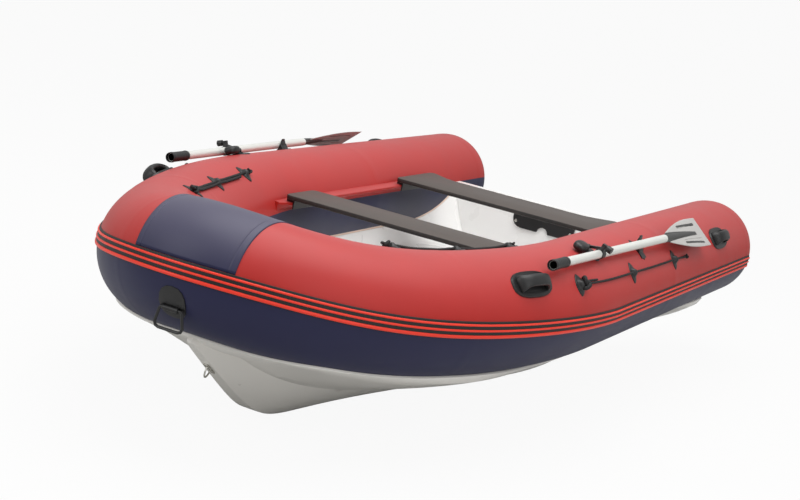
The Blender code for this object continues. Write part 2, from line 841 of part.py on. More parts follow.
def liner_section(s):
    """The liner's upper face: under the tube, up to its lip, down the side and over the floor."""
    middle, run, outboard, upward, turn = tube_axes(s)
    spots, lips = zip(*liner_lips()[::-1])
    lip = np.interp(middle[0], spots, lips)
    sweep = (lip - LINER_LIP_ANGLE) / (LINER_STERN_ANGLE - LINER_LIP_ANGLE)
    grid = arc(LINER_OUTER_ANGLE, LINER_STERN_ANGLE)
    angles = [max(angle, lip) for angle in grid]
    under = [tube_point(s, angle, SHEET_GAP) - ORIGIN for angle in angles]
    lip_point = under[-1]
    room = lip_point[1] / max(outboard[1], 1e-3)
    slope = LINER_SIDE_SLOPE + (LINER_STERN_SLOPE - LINER_SIDE_SLOPE) * sweep
    slope = min(slope, room / 2)
    side = lip_point - outboard * slope * 0.7
    side[2] = lip_point[2] * 0.3 - FLOOR_DEPTH * 0.7
    edge = lip_point - outboard * slope * 1.25
    edge[2] = -FLOOR_DEPTH
    middle_point = np.array([edge[0], 0.0, -FLOOR_DEPTH])
    rows = under + [side, edge, middle_point]
    if s > 2.0 - 1e-6:
        rows = [row * np.array([1, 0, 1]) for row in rows]
    return [row + ORIGIN for row in rows]


def make_liner():
    aft = s_at(TRANSOM_INNER + GAP)
    extra = [s_at(x) for x, _ in liner_lips()]
    columns = [liner_section(s) for s in stations_between(aft, 2.0, extra)]
    return open_sheet("deck_liner", columns, LINER_THICKNESS, "liner_gelcoat", up=True)


def across(x):
    """A frame whose X is port, whose Y is up and whose Z points forward, at x."""
    frame = Matrix(((0, 0, 1, 0), (1, 0, 0, 0), (0, 1, 0, 0), (0, 0, 0, 1)))
    return Matrix.Translation(at(x, 0, 0)) @ frame


def make_transom(tube_cutter):
    section = [point - ORIGIN for point in hull_section(s_at(TRANSOM_AFT))]
    flange, band, chine, sole, keel = section
    half = [
        (sole[1], sole[2] + TRANSOM_SEAT),
        (chine[1], chine[2] + TRANSOM_SEAT),
        (band[1], band[2] + TRANSOM_SEAT),
        (HALF_SPACING, -TUBE_RADIUS / 2),
        (HALF_SPACING - TUBE_RADIUS / 2, TRANSOM_TOP),
    ]
    outline = half + [(-y, z) for y, z in half[::-1]]
    board = plate("transom", outline, TRANSOM_THICKNESS, "liner_gelcoat",
                  across(TRANSOM_AFT + TRANSOM_THICKNESS / 2))
    combine(board, tube_cutter, "DIFFERENCE")


def corner(x, y, radius, start, end, steps=4):
    """Points of an arc about a corner's centre."""
    turns = [math.radians(start + (end - start) * step / steps) for step in range(steps + 1)]
    return [(x + radius * math.cos(turn), y + radius * math.sin(turn)) for turn in turns]


def make_motor_pads():
    half = PAD_WIDTH / 2
    outline = corner(half - PAD_CORNER / 2, PAD_TOP - PAD_CORNER / 2, PAD_CORNER / 2, 0, 90)
    outline += [(-x, y) for x, y in outline[::-1]]
    outline += corner(-half + PAD_CORNER, PAD_BOTTOM + PAD_CORNER, PAD_CORNER, 180, 270)
    outline += corner(0, PAD_BOTTOM, PAD_NOTCH, 180, 0, 6)
    outline += corner(half - PAD_CORNER, PAD_BOTTOM + PAD_CORNER, PAD_CORNER, 270, 360)
    inner_x = TRANSOM_INNER + GAP + PAD_THICKNESS / 2
    plate("motor_pad_inner", outline, PAD_THICKNESS, "black_plastic", across(inner_x))
    outer = OUTER_PAD_WIDTH / 2
    low, high = OUTER_PAD_BOTTOM, PAD_TOP
    outline = [(outer, low), (outer, high), (-outer, high), (-outer, low)]
    outer_x = TRANSOM_AFT - GAP - PAD_THICKNESS / 2
    pad = plate("motor_pad_outer", outline, PAD_THICKNESS, "black_plastic", across(outer_x))
    round_edges(pad, 0.002, 1)


# Seats


def make_rails():
    def ring_at(s):
        middle, run, outboard, upward, turn = tube_axes(s)
        angles = arc(RAIL_TOP_ANGLE - turn, RAIL_LOW_ANGLE - turn)
        on_tube = [tube_point(s, angle, GAP) for angle in angles]
        nose = rail_nose(middle[0])
        lip = nose - np.array([0, 0, RAIL_LIP])
        return on_tube + [lip, nose]

    nose_start = s_at(RAIL_FRONT - RAIL_NOSE)
    spots = stations_between(s_at(RAIL_AFT), s_at(RAIL_FRONT), [nose_start])
    rail = loft("seat_rail_port", [ring_at(s) for s in spots], "red_fabric")
    both_sides(rail)


def front_seat_outline():
    front, rear = FRONT_SEAT_EDGE, FRONT_SEAT_EDGE - FRONT_SEAT_WIDTH
    inset = FRONT_SEAT_CORNER
    half = FRONT_SEAT_HALF
    side = corner(front - inset, half - inset, inset, 0, 90, 3)
    side += corner(rear + inset, half - inset, inset, 90, 180, 3)
    return side + [(x, -y) for x, y in side[::-1]]


def aft_seat_outline():
    front, rear = AFT_SEAT_EDGE, AFT_SEAT_EDGE - AFT_SEAT_WIDTH
    half = AFT_SEAT_HALF
    tail = rear - AFT_SEAT_FLARE
    inset = FRONT_SEAT_CORNER
    side = corner(front - inset, half - inset, inset, 0, 90, 3)
    side += corner(tail + inset, half - inset, inset, 90, 180, 3)
    for step in range(1, 5):
        share = step / 4
        flared = tail + AFT_SEAT_FLARE * math.sin(share * math.pi / 2)
        side.append((flared, half - inset - AFT_SEAT_TAPER * share))
    return side + [(x, -y) for x, y in side[::-1]]


def make_seat(name, outline, aft, front, half):
    middle = SEAT_TOP - SEAT_THICKNESS / 2
    board = plate(name, outline, SEAT_THICKNESS, "seat_board", Matrix.Translation(at(0, 0, middle)))
    round_edges(board, SEAT_ROUND, 2)
    low = RAIL_TOP + GAP
    high = SEAT_TOP - SEAT_THICKNESS - GAP
    inner = rail_nose(front)[1] - BRACKET_CLEARANCE
    block = box(
        name + "_bracket_port",
        at(aft + BRACKET_INSET, inner - BRACKET_TONGUE, low),
        at(front - BRACKET_INSET, half - BRACKET_CLEARANCE, high), "black_plastic")
    tongue = box(
        name + "_tongue",
        at(aft + BRACKET_INSET, inner - BRACKET_TONGUE, low - BRACKET_TONGUE_DROP),
        at(front - BRACKET_INSET, inner, (high + low) / 2))
    combine(block, tongue, "UNION")
    both_sides(block)


def rail_nose(x):
    """The upper inboard edge of the port rail at x."""
    s = s_at(x)
    middle, run, outboard, upward, turn = tube_axes(s)
    on_tube = tube_point(s, RAIL_TOP_ANGLE - turn, GAP)
    ahead = max(0.0, RAIL_FRONT - x)
    nose = on_tube - outboard * RAIL_DEPTH * min(1.0, 0.3 + 0.7 * ahead / RAIL_NOSE)
    nose[2] = on_tube[2]
    return nose


def make_seats():
    front = FRONT_SEAT_EDGE
    make_seat("front_seat", front_seat_outline(), front - FRONT_SEAT_WIDTH, front, FRONT_SEAT_HALF)
    front = AFT_SEAT_EDGE
    make_seat("aft_seat", aft_seat_outline(), front - AFT_SEAT_WIDTH, front, AFT_SEAT_HALF)


# Fittings on the tubes


def squared(value, power):
    """A sine or cosine drawn towards 1, for an oval with squarer corners where the power is over 2."""
    return math.copysign(abs(value) ** (2 / power), value)


def oval_pad(name, half_width, half_length, base, finish, matrix, spokes=12, power=2.0, crown=0.6):
    """A low oval pad whose underside is left below the tube's faces, to be cut to them."""
    def ring(share, height):
        points = []
        for spoke in range(spokes):
            turn = 2 * math.pi * spoke / spokes
            x = squared(math.cos(turn), power) * half_width * share
            y = squared(math.sin(turn), power) * half_length * share
            drop = TUBE_RADIUS - math.sqrt(TUBE_RADIUS ** 2 - x * x)
            points.append((x, y, height - drop))
        return points

    below = -0.010
    rings = [ring(1.0, below), ring(1.0, base * crown), ring(0.86, base), ring(0.4, base)]
    pad = loft(name, rings, finish)
    pad.matrix_world = matrix
    return pad


def make_handle(name, x, angle, tube_cutter):
    """An oval base with a thick arched grip over a gap for the fingers."""
    frame = seat(x, angle)
    handle = oval_pad(name, HANDLE_HALF_WIDTH, HANDLE_HALF_LENGTH, HANDLE_BASE, "black_rubber", frame,
                      16, 2.6)
    turns = [math.radians(-18 + 216 * step / 12) for step in range(13)]
    rise = HANDLE_GRIP_HEIGHT - HANDLE_GRIP_RADIUS
    arch = [(0.0, HANDLE_GRIP_HALF * squared(math.cos(turn), HANDLE_GRIP_SQUARE),
             rise * squared(math.sin(turn), HANDLE_GRIP_SQUARE)) for turn in turns]
    grip = wire(name + "_grip", arch, HANDLE_GRIP_RADIUS, None, frame)
    combine(handle, grip, "UNION")
    combine(handle, tube_cutter, "DIFFERENCE")
    both_sides(handle)


def make_eyelet(name, x, angle, tube_cutter):
    """A pointed oval base with an arch that the rope passes through."""
    frame = seat(x, angle)
    eyelet = oval_pad(name, EYELET_HALF_WIDTH, EYELET_HALF_LENGTH, EYELET_BASE, "black_rubber", frame,
                      12, 1.6)
    turns = [math.pi * step / 6 for step in range(7)]
    arch = [(EYELET_ARCH_RADIUS * math.cos(turn), 0.0, EYELET_LEG + EYELET_ARCH_RADIUS * math.sin(turn))
            for turn in turns]
    arch = [(EYELET_ARCH_RADIUS, 0.0, 0.0)] + arch + [(-EYELET_ARCH_RADIUS, 0.0, 0.0)]
    loop = wire(name + "_arch", arch, EYELET_WIRE, None, frame)
    combine(eyelet, loop, "UNION")
    combine(eyelet, tube_cutter, "DIFFERENCE")
    both_sides(eyelet)


def make_lifeline(name, lead, eyelets, tail, droop):
    """A rope held in its eyelets, which hangs a little round the tube between them."""
    def place(x, angle, height):
        return np.array(seat(x, angle, height).translation)

    route = [place(x, angle, ROPE_ON_TUBE) for x, angle in lead]
    for index, (x, angle) in enumerate(eyelets):
        route.append(place(x, angle, ROPE_IN_EYELET))
        if index + 1 < len(eyelets):
            next_x, next_angle = eyelets[index + 1]
            for share in (0.25, 0.5, 0.75):
                sag = droop * 4 * share * (1 - share)
                route.append(place(x + (next_x - x) * share, angle + (next_angle - angle) * share - sag,
                                   ROPE_ON_TUBE))
    route += [place(x, angle, ROPE_ON_TUBE) for x, angle in tail]
    line = wire(name, smooth_path(route, ROPE_STEP), ROPE_RADIUS, "rope", resolution=1)
    both_sides(line)


def make_lifelines(tube_cutter):
    for count, (x, angle) in enumerate(OUTER_EYELETS, start=1):
        make_eyelet(f"outer_eyelet_{count}_port", x, angle, tube_cutter)
    for count, (x, angle) in enumerate(INNER_EYELETS, start=1):
        make_eyelet(f"inner_eyelet_{count}_port", x, angle, tube_cutter)
    make_lifeline("outer_lifeline_port", OUTER_LEAD, OUTER_EYELETS, OUTER_TAIL, OUTER_DROOP)
    make_lifeline("inner_lifeline_port", INNER_LEAD, INNER_EYELETS, INNER_TAIL, INNER_DROOP)


def make_valve(name, frame, tube_cutter):
    profile = [(0.0, VALVE_HEIGHT), (VALVE_RADIUS * 0.55, VALVE_HEIGHT),
               (VALVE_RADIUS * 0.62, VALVE_HEIGHT * 0.45), (VALVE_RADIUS, VALVE_HEIGHT * 0.30),
               (VALVE_RADIUS, -VALVE_HEIGHT), (0.0, -VALVE_HEIGHT)]
    valve = turned(name, profile, "black_plastic", frame)
    return combine(valve, tube_cutter, "DIFFERENCE")


def make_valves(tube_cutter):
    both_sides(make_valve("valve_port", seat(VALVE_X, VALVE_ANGLE), tube_cutter))
    bow_x = centre_point(BOW_VALVE_STATION)[0]
    make_valve("valve_bow", seat(bow_x, BOW_VALVE_ANGLE), tube_cutter)


# Rowlock, oar and clip


def rowlock_frame():
    """On the tube under the rowlock's post, with Y along the oar."""
    return seat(ROWLOCK_X, ROWLOCK_ANGLE) @ Matrix.Rotation(math.radians(OAR_TOE), 4, "Z")


def make_rowlock(tube_cutter):
    frame = rowlock_frame()
    half_length = (ROWLOCK_PAD_FRONT + ROWLOCK_PAD_AFT) / 2
    half_width = (ROWLOCK_PAD_IN + ROWLOCK_PAD_OUT) / 2
    shift_y = (ROWLOCK_PAD_FRONT - ROWLOCK_PAD_AFT) / 2
    turn = math.degrees((ROWLOCK_PAD_IN - ROWLOCK_PAD_OUT) / 2 / TUBE_RADIUS)
    pad_frame = seat(ROWLOCK_X + shift_y, ROWLOCK_ANGLE + turn)
    base = oval_pad("rowlock_base_port", half_width, half_length, ROWLOCK_PAD_BASE, "black_rubber",
                    pad_frame, 16, 2.2)
    post = rod("rowlock_post", POST_RADIUS, (0, 0, -0.006), (0, 0, POST_HEIGHT), None, frame)
    combine(base, post, "UNION")
    combine(base, tube_cutter, "DIFFERENCE")

    low = POST_HEIGHT + GAP
    cradle = rod("rowlock_cradle_port", CRADLE_RADIUS, (0, 0, 0), (0, 0, CRADLE_HEIGHT), "black_plastic",
                 frame @ Matrix.Translation((0, 0, low)))
    for side in (1, -1):
        near = side * EAR_SPREAD
        far = side * (EAR_SPREAD - EAR_THICKNESS)
        front, back = max(near, far), min(near, far)
        ear = box(f"rowlock_ear_{front:.4f}", (-BARREL_RADIUS, back, low + CRADLE_HEIGHT / 2),
                  (BARREL_RADIUS, front, BARREL_HEIGHT), None, frame)
        head = rod(f"rowlock_ear_head_{front:.4f}", BARREL_RADIUS, (0, back, BARREL_HEIGHT),
                   (0, front, BARREL_HEIGHT), None, frame)
        combine(cradle, ear, "UNION")
        combine(cradle, head, "UNION")

    inner_radius = SHAFT_RADIUS + COLLAR_CLEARANCE
    outer_radius = inner_radius + COLLAR_WALL
    knuckle_half = EAR_SPREAD - EAR_THICKNESS - 2 * GAP
    hinge = frame @ Matrix.Translation((0, 0, BARREL_HEIGHT))
    arm = rod("rowlock_arm_port", BARREL_RADIUS, (0, -knuckle_half, 0), (0, knuckle_half, 0),
              "black_plastic", hinge)
    shaft_z = OAR_HEIGHT - BARREL_HEIGHT
    crown = shaft_z + outer_radius
    bar = plate("rowlock_bar", [
        (0.0, -BARREL_RADIUS * 0.7),
        (0.0, BARREL_RADIUS * 0.7),
        (-OAR_OFFSET + LUG_RADIUS, crown + ARM_THICKNESS),
        (-OAR_OFFSET, crown + ARM_THICKNESS),
        (-OAR_OFFSET, crown - ARM_THICKNESS / 2),
        (-OAR_OFFSET + outer_radius * 0.8, shaft_z + outer_radius * 0.55),
    ], 2 * knuckle_half, None, hinge @ Matrix.Rotation(math.radians(90), 4, "X"))
    collar = rod("rowlock_collar", outer_radius, (-OAR_OFFSET, -COLLAR_HALF, shaft_z),
                 (-OAR_OFFSET, COLLAR_HALF, shaft_z), None, hinge, 20)
    lug_z = shaft_z + outer_radius + LUG_HEIGHT - LUG_RADIUS
    lug = box("rowlock_lug", (-OAR_OFFSET - LUG_RADIUS, -LUG_RADIUS, shaft_z + outer_radius - 0.002),
              (-OAR_OFFSET + LUG_RADIUS, LUG_RADIUS, lug_z + LUG_RADIUS), None, hinge)
    bore = rod("rowlock_bore", inner_radius, (-OAR_OFFSET, -2 * COLLAR_HALF, shaft_z),
               (-OAR_OFFSET, 2 * COLLAR_HALF, shaft_z), None, hinge, 20)
    pin_hole = rod("rowlock_pin_hole", PIN_RADIUS + COLLAR_CLEARANCE,
                   (-OAR_OFFSET - 2 * LUG_RADIUS, 0, lug_z), (-OAR_OFFSET + 2 * LUG_RADIUS, 0, lug_z),
                   None, hinge, 12)
    for tool in (bar, collar, lug):
        combine(arm, tool, "UNION")
    for tool in (bore, pin_hole):
        combine(arm, tool, "DIFFERENCE")

    knob_frame = hinge @ Matrix.Translation((-OAR_OFFSET, 0, lug_z))
    outline = []
    for rib in range(2 * KNOB_RIBS):
        radius = KNOB_RADIUS * (1.0 if rib % 2 else 0.88)
        turn_about = math.pi * rib / KNOB_RIBS
        outline.append((radius * math.cos(turn_about), radius * math.sin(turn_about)))
    face = KNOB_STAND + KNOB_LENGTH / 2
    knob = plate("rowlock_knob_port", outline, KNOB_LENGTH, "black_plastic",
                 knob_frame @ Matrix.Translation((-face, 0, 0)) @ Matrix.Rotation(math.radians(90), 4, "Y"))
    pin = rod("rowlock_pin", PIN_RADIUS, (-face, 0, 0), (LUG_RADIUS, 0, 0), None, knob_frame, 12)
    combine(knob, pin, "UNION")
    for item in (base, cradle, arm, knob):
        both_sides(item)


def blade_half_width(share):
    """The fan's half width: a narrow neck, then a shoulder, then nearly straight to the tip."""
    neck = SHAFT_RADIUS + 0.001
    spread = max(0.0, (share - 0.05) / 0.95)
    return neck + (BLADE_HALF - neck) * math.sin(math.pi / 2 * min(1.0, spread * 1.25)) ** 0.9


def make_blade(frame):
    rings = []
    for step in range(11):
        share = step / 10
        half = blade_half_width(share)
        rib_half = SHAFT_RADIUS * (1 - 0.72 * share)
        rib = max(BLADE_PLATE / 2, BLADE_RIB * (1 - share) ** 1.2)
        spots = [-half, -rib_half, -rib_half / 2, 0.0, rib_half / 2, rib_half, half]
        heights = [0.0, BLADE_PLATE / 2, rib * 0.86, rib, rib * 0.86, BLADE_PLATE / 2, 0.0]
        heights = [max(height, BLADE_PLATE / 2) if 0 < index < 6 else 0.0
                   for index, height in enumerate(heights)]
        if step == 0:
            heights[1] = heights[5] = rib * 0.35
        upper = list(zip(spots, heights))
        lower = [(x, -z) for x, z in upper[-2:0:-1]]
        y = -BLADE_LENGTH * share
        drop = -BLADE_DROP * share ** 2
        side = -BLADE_SET * share ** 2
        rings.append([(x + side, y, z + drop) for x, z in upper + lower])
    blade = loft("oar_blade_port", rings, "oar_plastic")
    blade.matrix_world = frame @ Matrix.Translation((0, -SHAFT_ASTERN - GAP, 0)) @ Matrix.Rotation(
        math.radians(BLADE_ROLL), 4, "Y")
    return blade


def make_oar():
    frame = rowlock_frame() @ Matrix.Translation((-OAR_OFFSET, 0, OAR_HEIGHT))
    shaft = rod("oar_shaft_port", SHAFT_RADIUS, (0, -SHAFT_ASTERN, 0), (0, SHAFT_AHEAD, 0), "oar_alloy",
                frame, 20)
    wall = SHAFT_RADIUS + GAP
    front = SHAFT_AHEAD + SLEEVE_OPEN
    profile = [(wall, SLEEVE_LENGTH), (SLEEVE_RADIUS - 0.001, SLEEVE_LENGTH),
               (SLEEVE_RADIUS, SLEEVE_LENGTH - 0.002), (SLEEVE_RADIUS, 0.001), (SLEEVE_RADIUS - 0.001, 0.0),
               (wall, 0.0)]
    sleeve = turned("oar_sleeve_port", profile, "black_rubber",
                    frame @ Matrix.Translation((0, front - SLEEVE_LENGTH, 0)) @ Matrix.Rotation(
                        math.radians(-90), 4, "X"), 20, ring=True)
    for item in (shaft, sleeve, make_blade(frame)):
        both_sides(item)


def make_clip(tube_cutter):
    """A plate with an inboard arm and a low outboard lip, so the shaft swings out over the lip."""
    oar = rowlock_frame() @ Matrix.Translation((-OAR_OFFSET, 0, OAR_HEIGHT))
    origin = Vector(ORIGIN)
    along = (oar.to_3x3() @ Vector((0, 1, 0))).normalized()
    start = oar.translation - origin
    reach = (CLIP_X - start.x) / along.x
    shaft = start + along * reach
    rise = shaft.z - centre_point(s_at(CLIP_X))[2]
    outward = shaft.y - centre_point(s_at(CLIP_X))[1]
    angle = math.degrees(math.atan2(rise, outward))
    height = math.hypot(rise, outward) - TUBE_RADIUS
    frame = seat(CLIP_X, angle)
    reach_round = SHAFT_RADIUS + CLIP_CLEARANCE
    saddle = [(reach_round * math.sin(math.radians(turn)), height - reach_round * math.cos(math.radians(turn)))
              for turn in (-28, -14, 0, 24, 48, CLIP_ARM_TURN)]
    arm_out = reach_round + CLIP_ARM
    outline = [(-CLIP_OUT, -CLIP_SINK), (-CLIP_OUT, -CLIP_EDGE / 2)]
    outline += [(-CLIP_OUT + CLIP_TAPER, CLIP_PLATE - CLIP_EDGE), (-CLIP_LIP_OUT, CLIP_PLATE)]
    outline += [(-CLIP_LIP_OUT + CLIP_LIP_SLOPE, CLIP_LIP)]
    outline += [point for point in saddle if point[1] < CLIP_LIP or point[0] > 0]
    outline += [(arm_out, saddle[-1][1]), (arm_out, CLIP_PLATE + CLIP_EDGE)]
    outline += [(CLIP_IN, CLIP_PLATE - CLIP_EDGE), (CLIP_IN, -CLIP_SINK)]
    turn_up = Matrix.Rotation(math.radians(90), 4, "X")
    clip = plate("oar_clip_port", outline, 2 * CLIP_HALF_LENGTH, "black_plastic", frame @ turn_up)
    combine(clip, tube_cutter, "DIFFERENCE")
    both_sides(clip)


# Towing point and bow eye


def tip_frame(angle, height=0.0):
    """On the middle of the bow: X down round the tube to up, Y to port, Z straight out."""
    turned_angle = math.radians(angle)
    middle = centre_point(2.0)
    out = np.array([math.cos(turned_angle), 0.0, math.sin(turned_angle)])
    place = middle + out * (TUBE_RADIUS + height) + ORIGIN
    around = np.array([math.sin(turned_angle), 0.0, -math.cos(turned_angle)])
    frame = Matrix.Identity(4)
    for column, axis in enumerate((around, (0.0, 1.0, 0.0), out, place)):
        for row in range(3):
            frame[row][column] = axis[row]
    return frame


def make_towing_point(tube_cutter):
    frame = tip_frame(TOW_ANGLE)
    patch = oval_pad("tow_patch", TOW_HALF_LENGTH, TOW_HALF_WIDTH, TOW_BASE, "black_rubber", frame, 16, 2.4)
    lift = TOW_BASE + TOW_LOOP_RADIUS * 0.75
    loop_frame = tip_frame(TOW_LOOP_ANGLE, lift)
    loop = rod("tow_loop", TOW_LOOP_RADIUS, (0, -TOW_LOOP_HALF, 0), (0, TOW_LOOP_HALF, 0), None, loop_frame)
    bore = rod("tow_bore", RING_WIRE + RING_CLEARANCE, (0, -2 * TOW_LOOP_HALF, 0),
               (0, 2 * TOW_LOOP_HALF, 0), None, loop_frame, 12)
    combine(patch, loop, "UNION")
    combine(patch, bore, "DIFFERENCE")
    combine(patch, tube_cutter, "DIFFERENCE")
    half = [(RING_TOP_HALF, 0), (RING_TOP_HALF + RING_ROUND / 4, -RING_ROUND * 0.4)]
    half += [(RING_BOTTOM_HALF, -RING_DROP + RING_ROUND)]
    half += [(RING_BOTTOM_HALF - RING_ROUND * 0.3, -RING_DROP + RING_ROUND / 4)]
    half += [(RING_BOTTOM_HALF - RING_ROUND, -RING_DROP)]
    path = [(0, y, z) for y, z in half] + [(0, -y, z) for y, z in half[::-1]]
    wire("towing_ring", path, RING_WIRE, "black_plastic",
         Matrix.Translation(loop_frame.translation), cyclic=True)


def make_bow_eye(hull):
    """A plate on the stem with a ring of wire, seated on the hull as it is."""
    bpy.context.view_layer.update()
    graph = bpy.context.evaluated_depsgraph_get()
    surface = BVHTree.FromObject(hull, graph)

    def stem_point(x):
        start = Vector(at(x, 0.0005, -2 * KEEL_DEPTH))
        return surface.ray_cast(start, Vector((0, 0, 1)))[0]

    low = stem_point(EYE_X - EYE_PLATE_HALF * 0.7)
    high = stem_point(EYE_X + EYE_PLATE_HALF * 0.7)
    along = (high - low).normalized()
    out = Vector((along.z, 0.0, -along.x)).normalized()
    spots = [stem_point(EYE_X + EYE_PLATE_HALF * share) for share in (-0.7, -0.35, 0.0, 0.35, 0.7)]
    stand = max((spot - low).dot(out) for spot in spots)
    place = (low + high) / 2
    place = place + out * (stand + GAP - (place - low).dot(out))
    frame = Matrix.Identity(4)
    for column, axis in enumerate((along, Vector((0, 1, 0)), out, place)):
        for row in range(3):
            frame[row][column] = axis[row]
    eye = box("bow_eye", (-EYE_PLATE_HALF, -EYE_PLATE_WIDTH / 2, 0),
              (EYE_PLATE_HALF, EYE_PLATE_WIDTH / 2, EYE_PLATE_THICKNESS), "stainless", frame)
    turns = [math.radians(-10 + 200 * step / 8) for step in range(9)]
    lift = EYE_PLATE_THICKNESS / 2
    path = [(EYE_HALF * math.cos(turn), 0, lift + max(0, (EYE_REACH - lift) * math.sin(turn)))
            for turn in turns[1:-1]]
    path = [(EYE_HALF, 0, lift)] + path + [(-EYE_HALF, 0, lift)]
    ring = wire("eye_ring", path, EYE_WIRE, None, frame)
    combine(eye, ring, "UNION")


def main():
    clear_scene()
    tube_cutter = make_tube_cutter()
    make_chambers()
    make_strake()
    make_bow_patch()
    hull = make_hull()
    make_liner()
    make_transom(tube_cutter)
    make_motor_pads()
    make_rails()
    make_seats()
    make_handle("front_handle_port", HANDLE_FRONT_X, HANDLE_FRONT_ANGLE, tube_cutter)
    make_handle("aft_handle_port", HANDLE_AFT_X, HANDLE_AFT_ANGLE, tube_cutter)
    make_lifelines(tube_cutter)
    make_valves(tube_cutter)
    make_rowlock(tube_cutter)
    make_oar()
    make_clip(tube_cutter)
    make_towing_point(tube_cutter)
    make_bow_eye(hull)


main()
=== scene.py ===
"""Looks of a rigid inflatable boat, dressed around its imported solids.

Frame: X forward, Y to port, Z up, in metres, with the keel standing on the floor at Z = 0.
Angles round a tube are in degrees: 0 outboard, 90 on top, 180 inboard.
"""

from __future__ import annotations

import json
import logging
import math
from collections.abc import Callable, Sequence
from dataclasses import dataclass
from enum import Enum

import bmesh
import bpy
import numpy as np
from mathutils import Matrix, Vector

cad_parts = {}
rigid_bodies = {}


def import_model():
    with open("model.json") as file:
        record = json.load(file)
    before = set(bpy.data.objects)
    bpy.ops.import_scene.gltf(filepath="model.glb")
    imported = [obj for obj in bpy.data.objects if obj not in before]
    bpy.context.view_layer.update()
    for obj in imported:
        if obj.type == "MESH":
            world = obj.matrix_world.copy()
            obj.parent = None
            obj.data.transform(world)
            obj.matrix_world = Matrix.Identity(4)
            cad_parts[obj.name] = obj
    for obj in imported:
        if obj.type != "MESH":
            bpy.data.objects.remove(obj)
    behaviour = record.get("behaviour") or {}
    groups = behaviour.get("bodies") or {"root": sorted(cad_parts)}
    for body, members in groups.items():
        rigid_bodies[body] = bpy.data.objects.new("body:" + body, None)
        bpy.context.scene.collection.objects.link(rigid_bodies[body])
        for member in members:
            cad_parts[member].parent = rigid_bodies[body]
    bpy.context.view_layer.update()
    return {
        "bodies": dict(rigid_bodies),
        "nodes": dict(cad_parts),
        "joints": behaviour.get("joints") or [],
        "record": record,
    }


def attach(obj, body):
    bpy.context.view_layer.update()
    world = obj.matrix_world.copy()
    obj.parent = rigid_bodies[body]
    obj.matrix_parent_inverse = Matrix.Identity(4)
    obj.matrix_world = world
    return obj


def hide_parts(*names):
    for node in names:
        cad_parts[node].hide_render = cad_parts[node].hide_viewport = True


log = logging.getLogger("boat")
MM = 0.001
Socket = bpy.types.NodeSocket


class Side(Enum):
    """The two sides of the boat, each with the sign of its Y."""

    PORT = 1
    STARBOARD = -1

    @property
    def word(self) -> str:
        """The side as it stands in the names of nodes."""
        return self.name.lower()

    @property
    def mirror(self) -> np.ndarray:
        """Factors that carry a point of the port side over to this side."""
        return np.array([1, self.value, 1])


# Colour and material nodes


def linear(code: str) -> tuple[float, float, float, float]:
    """Turns an sRGB hex colour into linear light.

    Args:
        code: a colour such as "#c23a3a".

    Returns:
        Red, green, blue and an alpha of 1.
    """
    raw = np.array([int(code[place:place + 2], 16) / 255 for place in (1, 3, 5)])
    light = np.where(raw <= 0.04045, raw / 12.92, ((raw + 0.055) / 1.055) ** 2.4)
    return (*light.tolist(), 1.0)


def add_node(tree: bpy.types.NodeTree, kind: str, settings: dict, links: dict) -> bpy.types.Node:
    """Adds a node to a tree.

    Args:
        tree: the material's or the world's node tree.
        kind: the node's type.
        settings: values by the name or number of an input, or by the name of a property.
        links: outputs of other nodes by the name or number of the input they feed.

    Returns:
        The node.
    """
    made = tree.nodes.new(kind)
    for key, value in settings.items():
        if isinstance(key, int) or key in made.inputs:
            made.inputs[key].default_value = value
        else:
            setattr(made, key, value)
    for key, source in links.items():
        tree.links.new(source, made.inputs[key])
    return made


def respan(tree: bpy.types.NodeTree, value: Socket, source: tuple[float, float],
           target: tuple[float, float]) -> Socket:
    """Carries a value from one span to another, and holds it at the ends.

    Args:
        tree: the node tree.
        value: the value's output.
        source: the span that it comes from.
        target: what the two ends of that span become.

    Returns:
        The new value.
    """
    settings = {"From Min": source[0], "From Max": source[1], "To Min": target[0], "To Max": target[1]}
    return add_node(tree, "ShaderNodeMapRange", settings, {"Value": value}).outputs["Result"]


def combined(tree: bpy.types.NodeTree, operation: str, first: Socket, second: Socket) -> Socket:
    """The product, the greater or the like of two values."""
    return add_node(tree, "ShaderNodeMath", {"operation": operation}, {0: first, 1: second}).outputs["Value"]


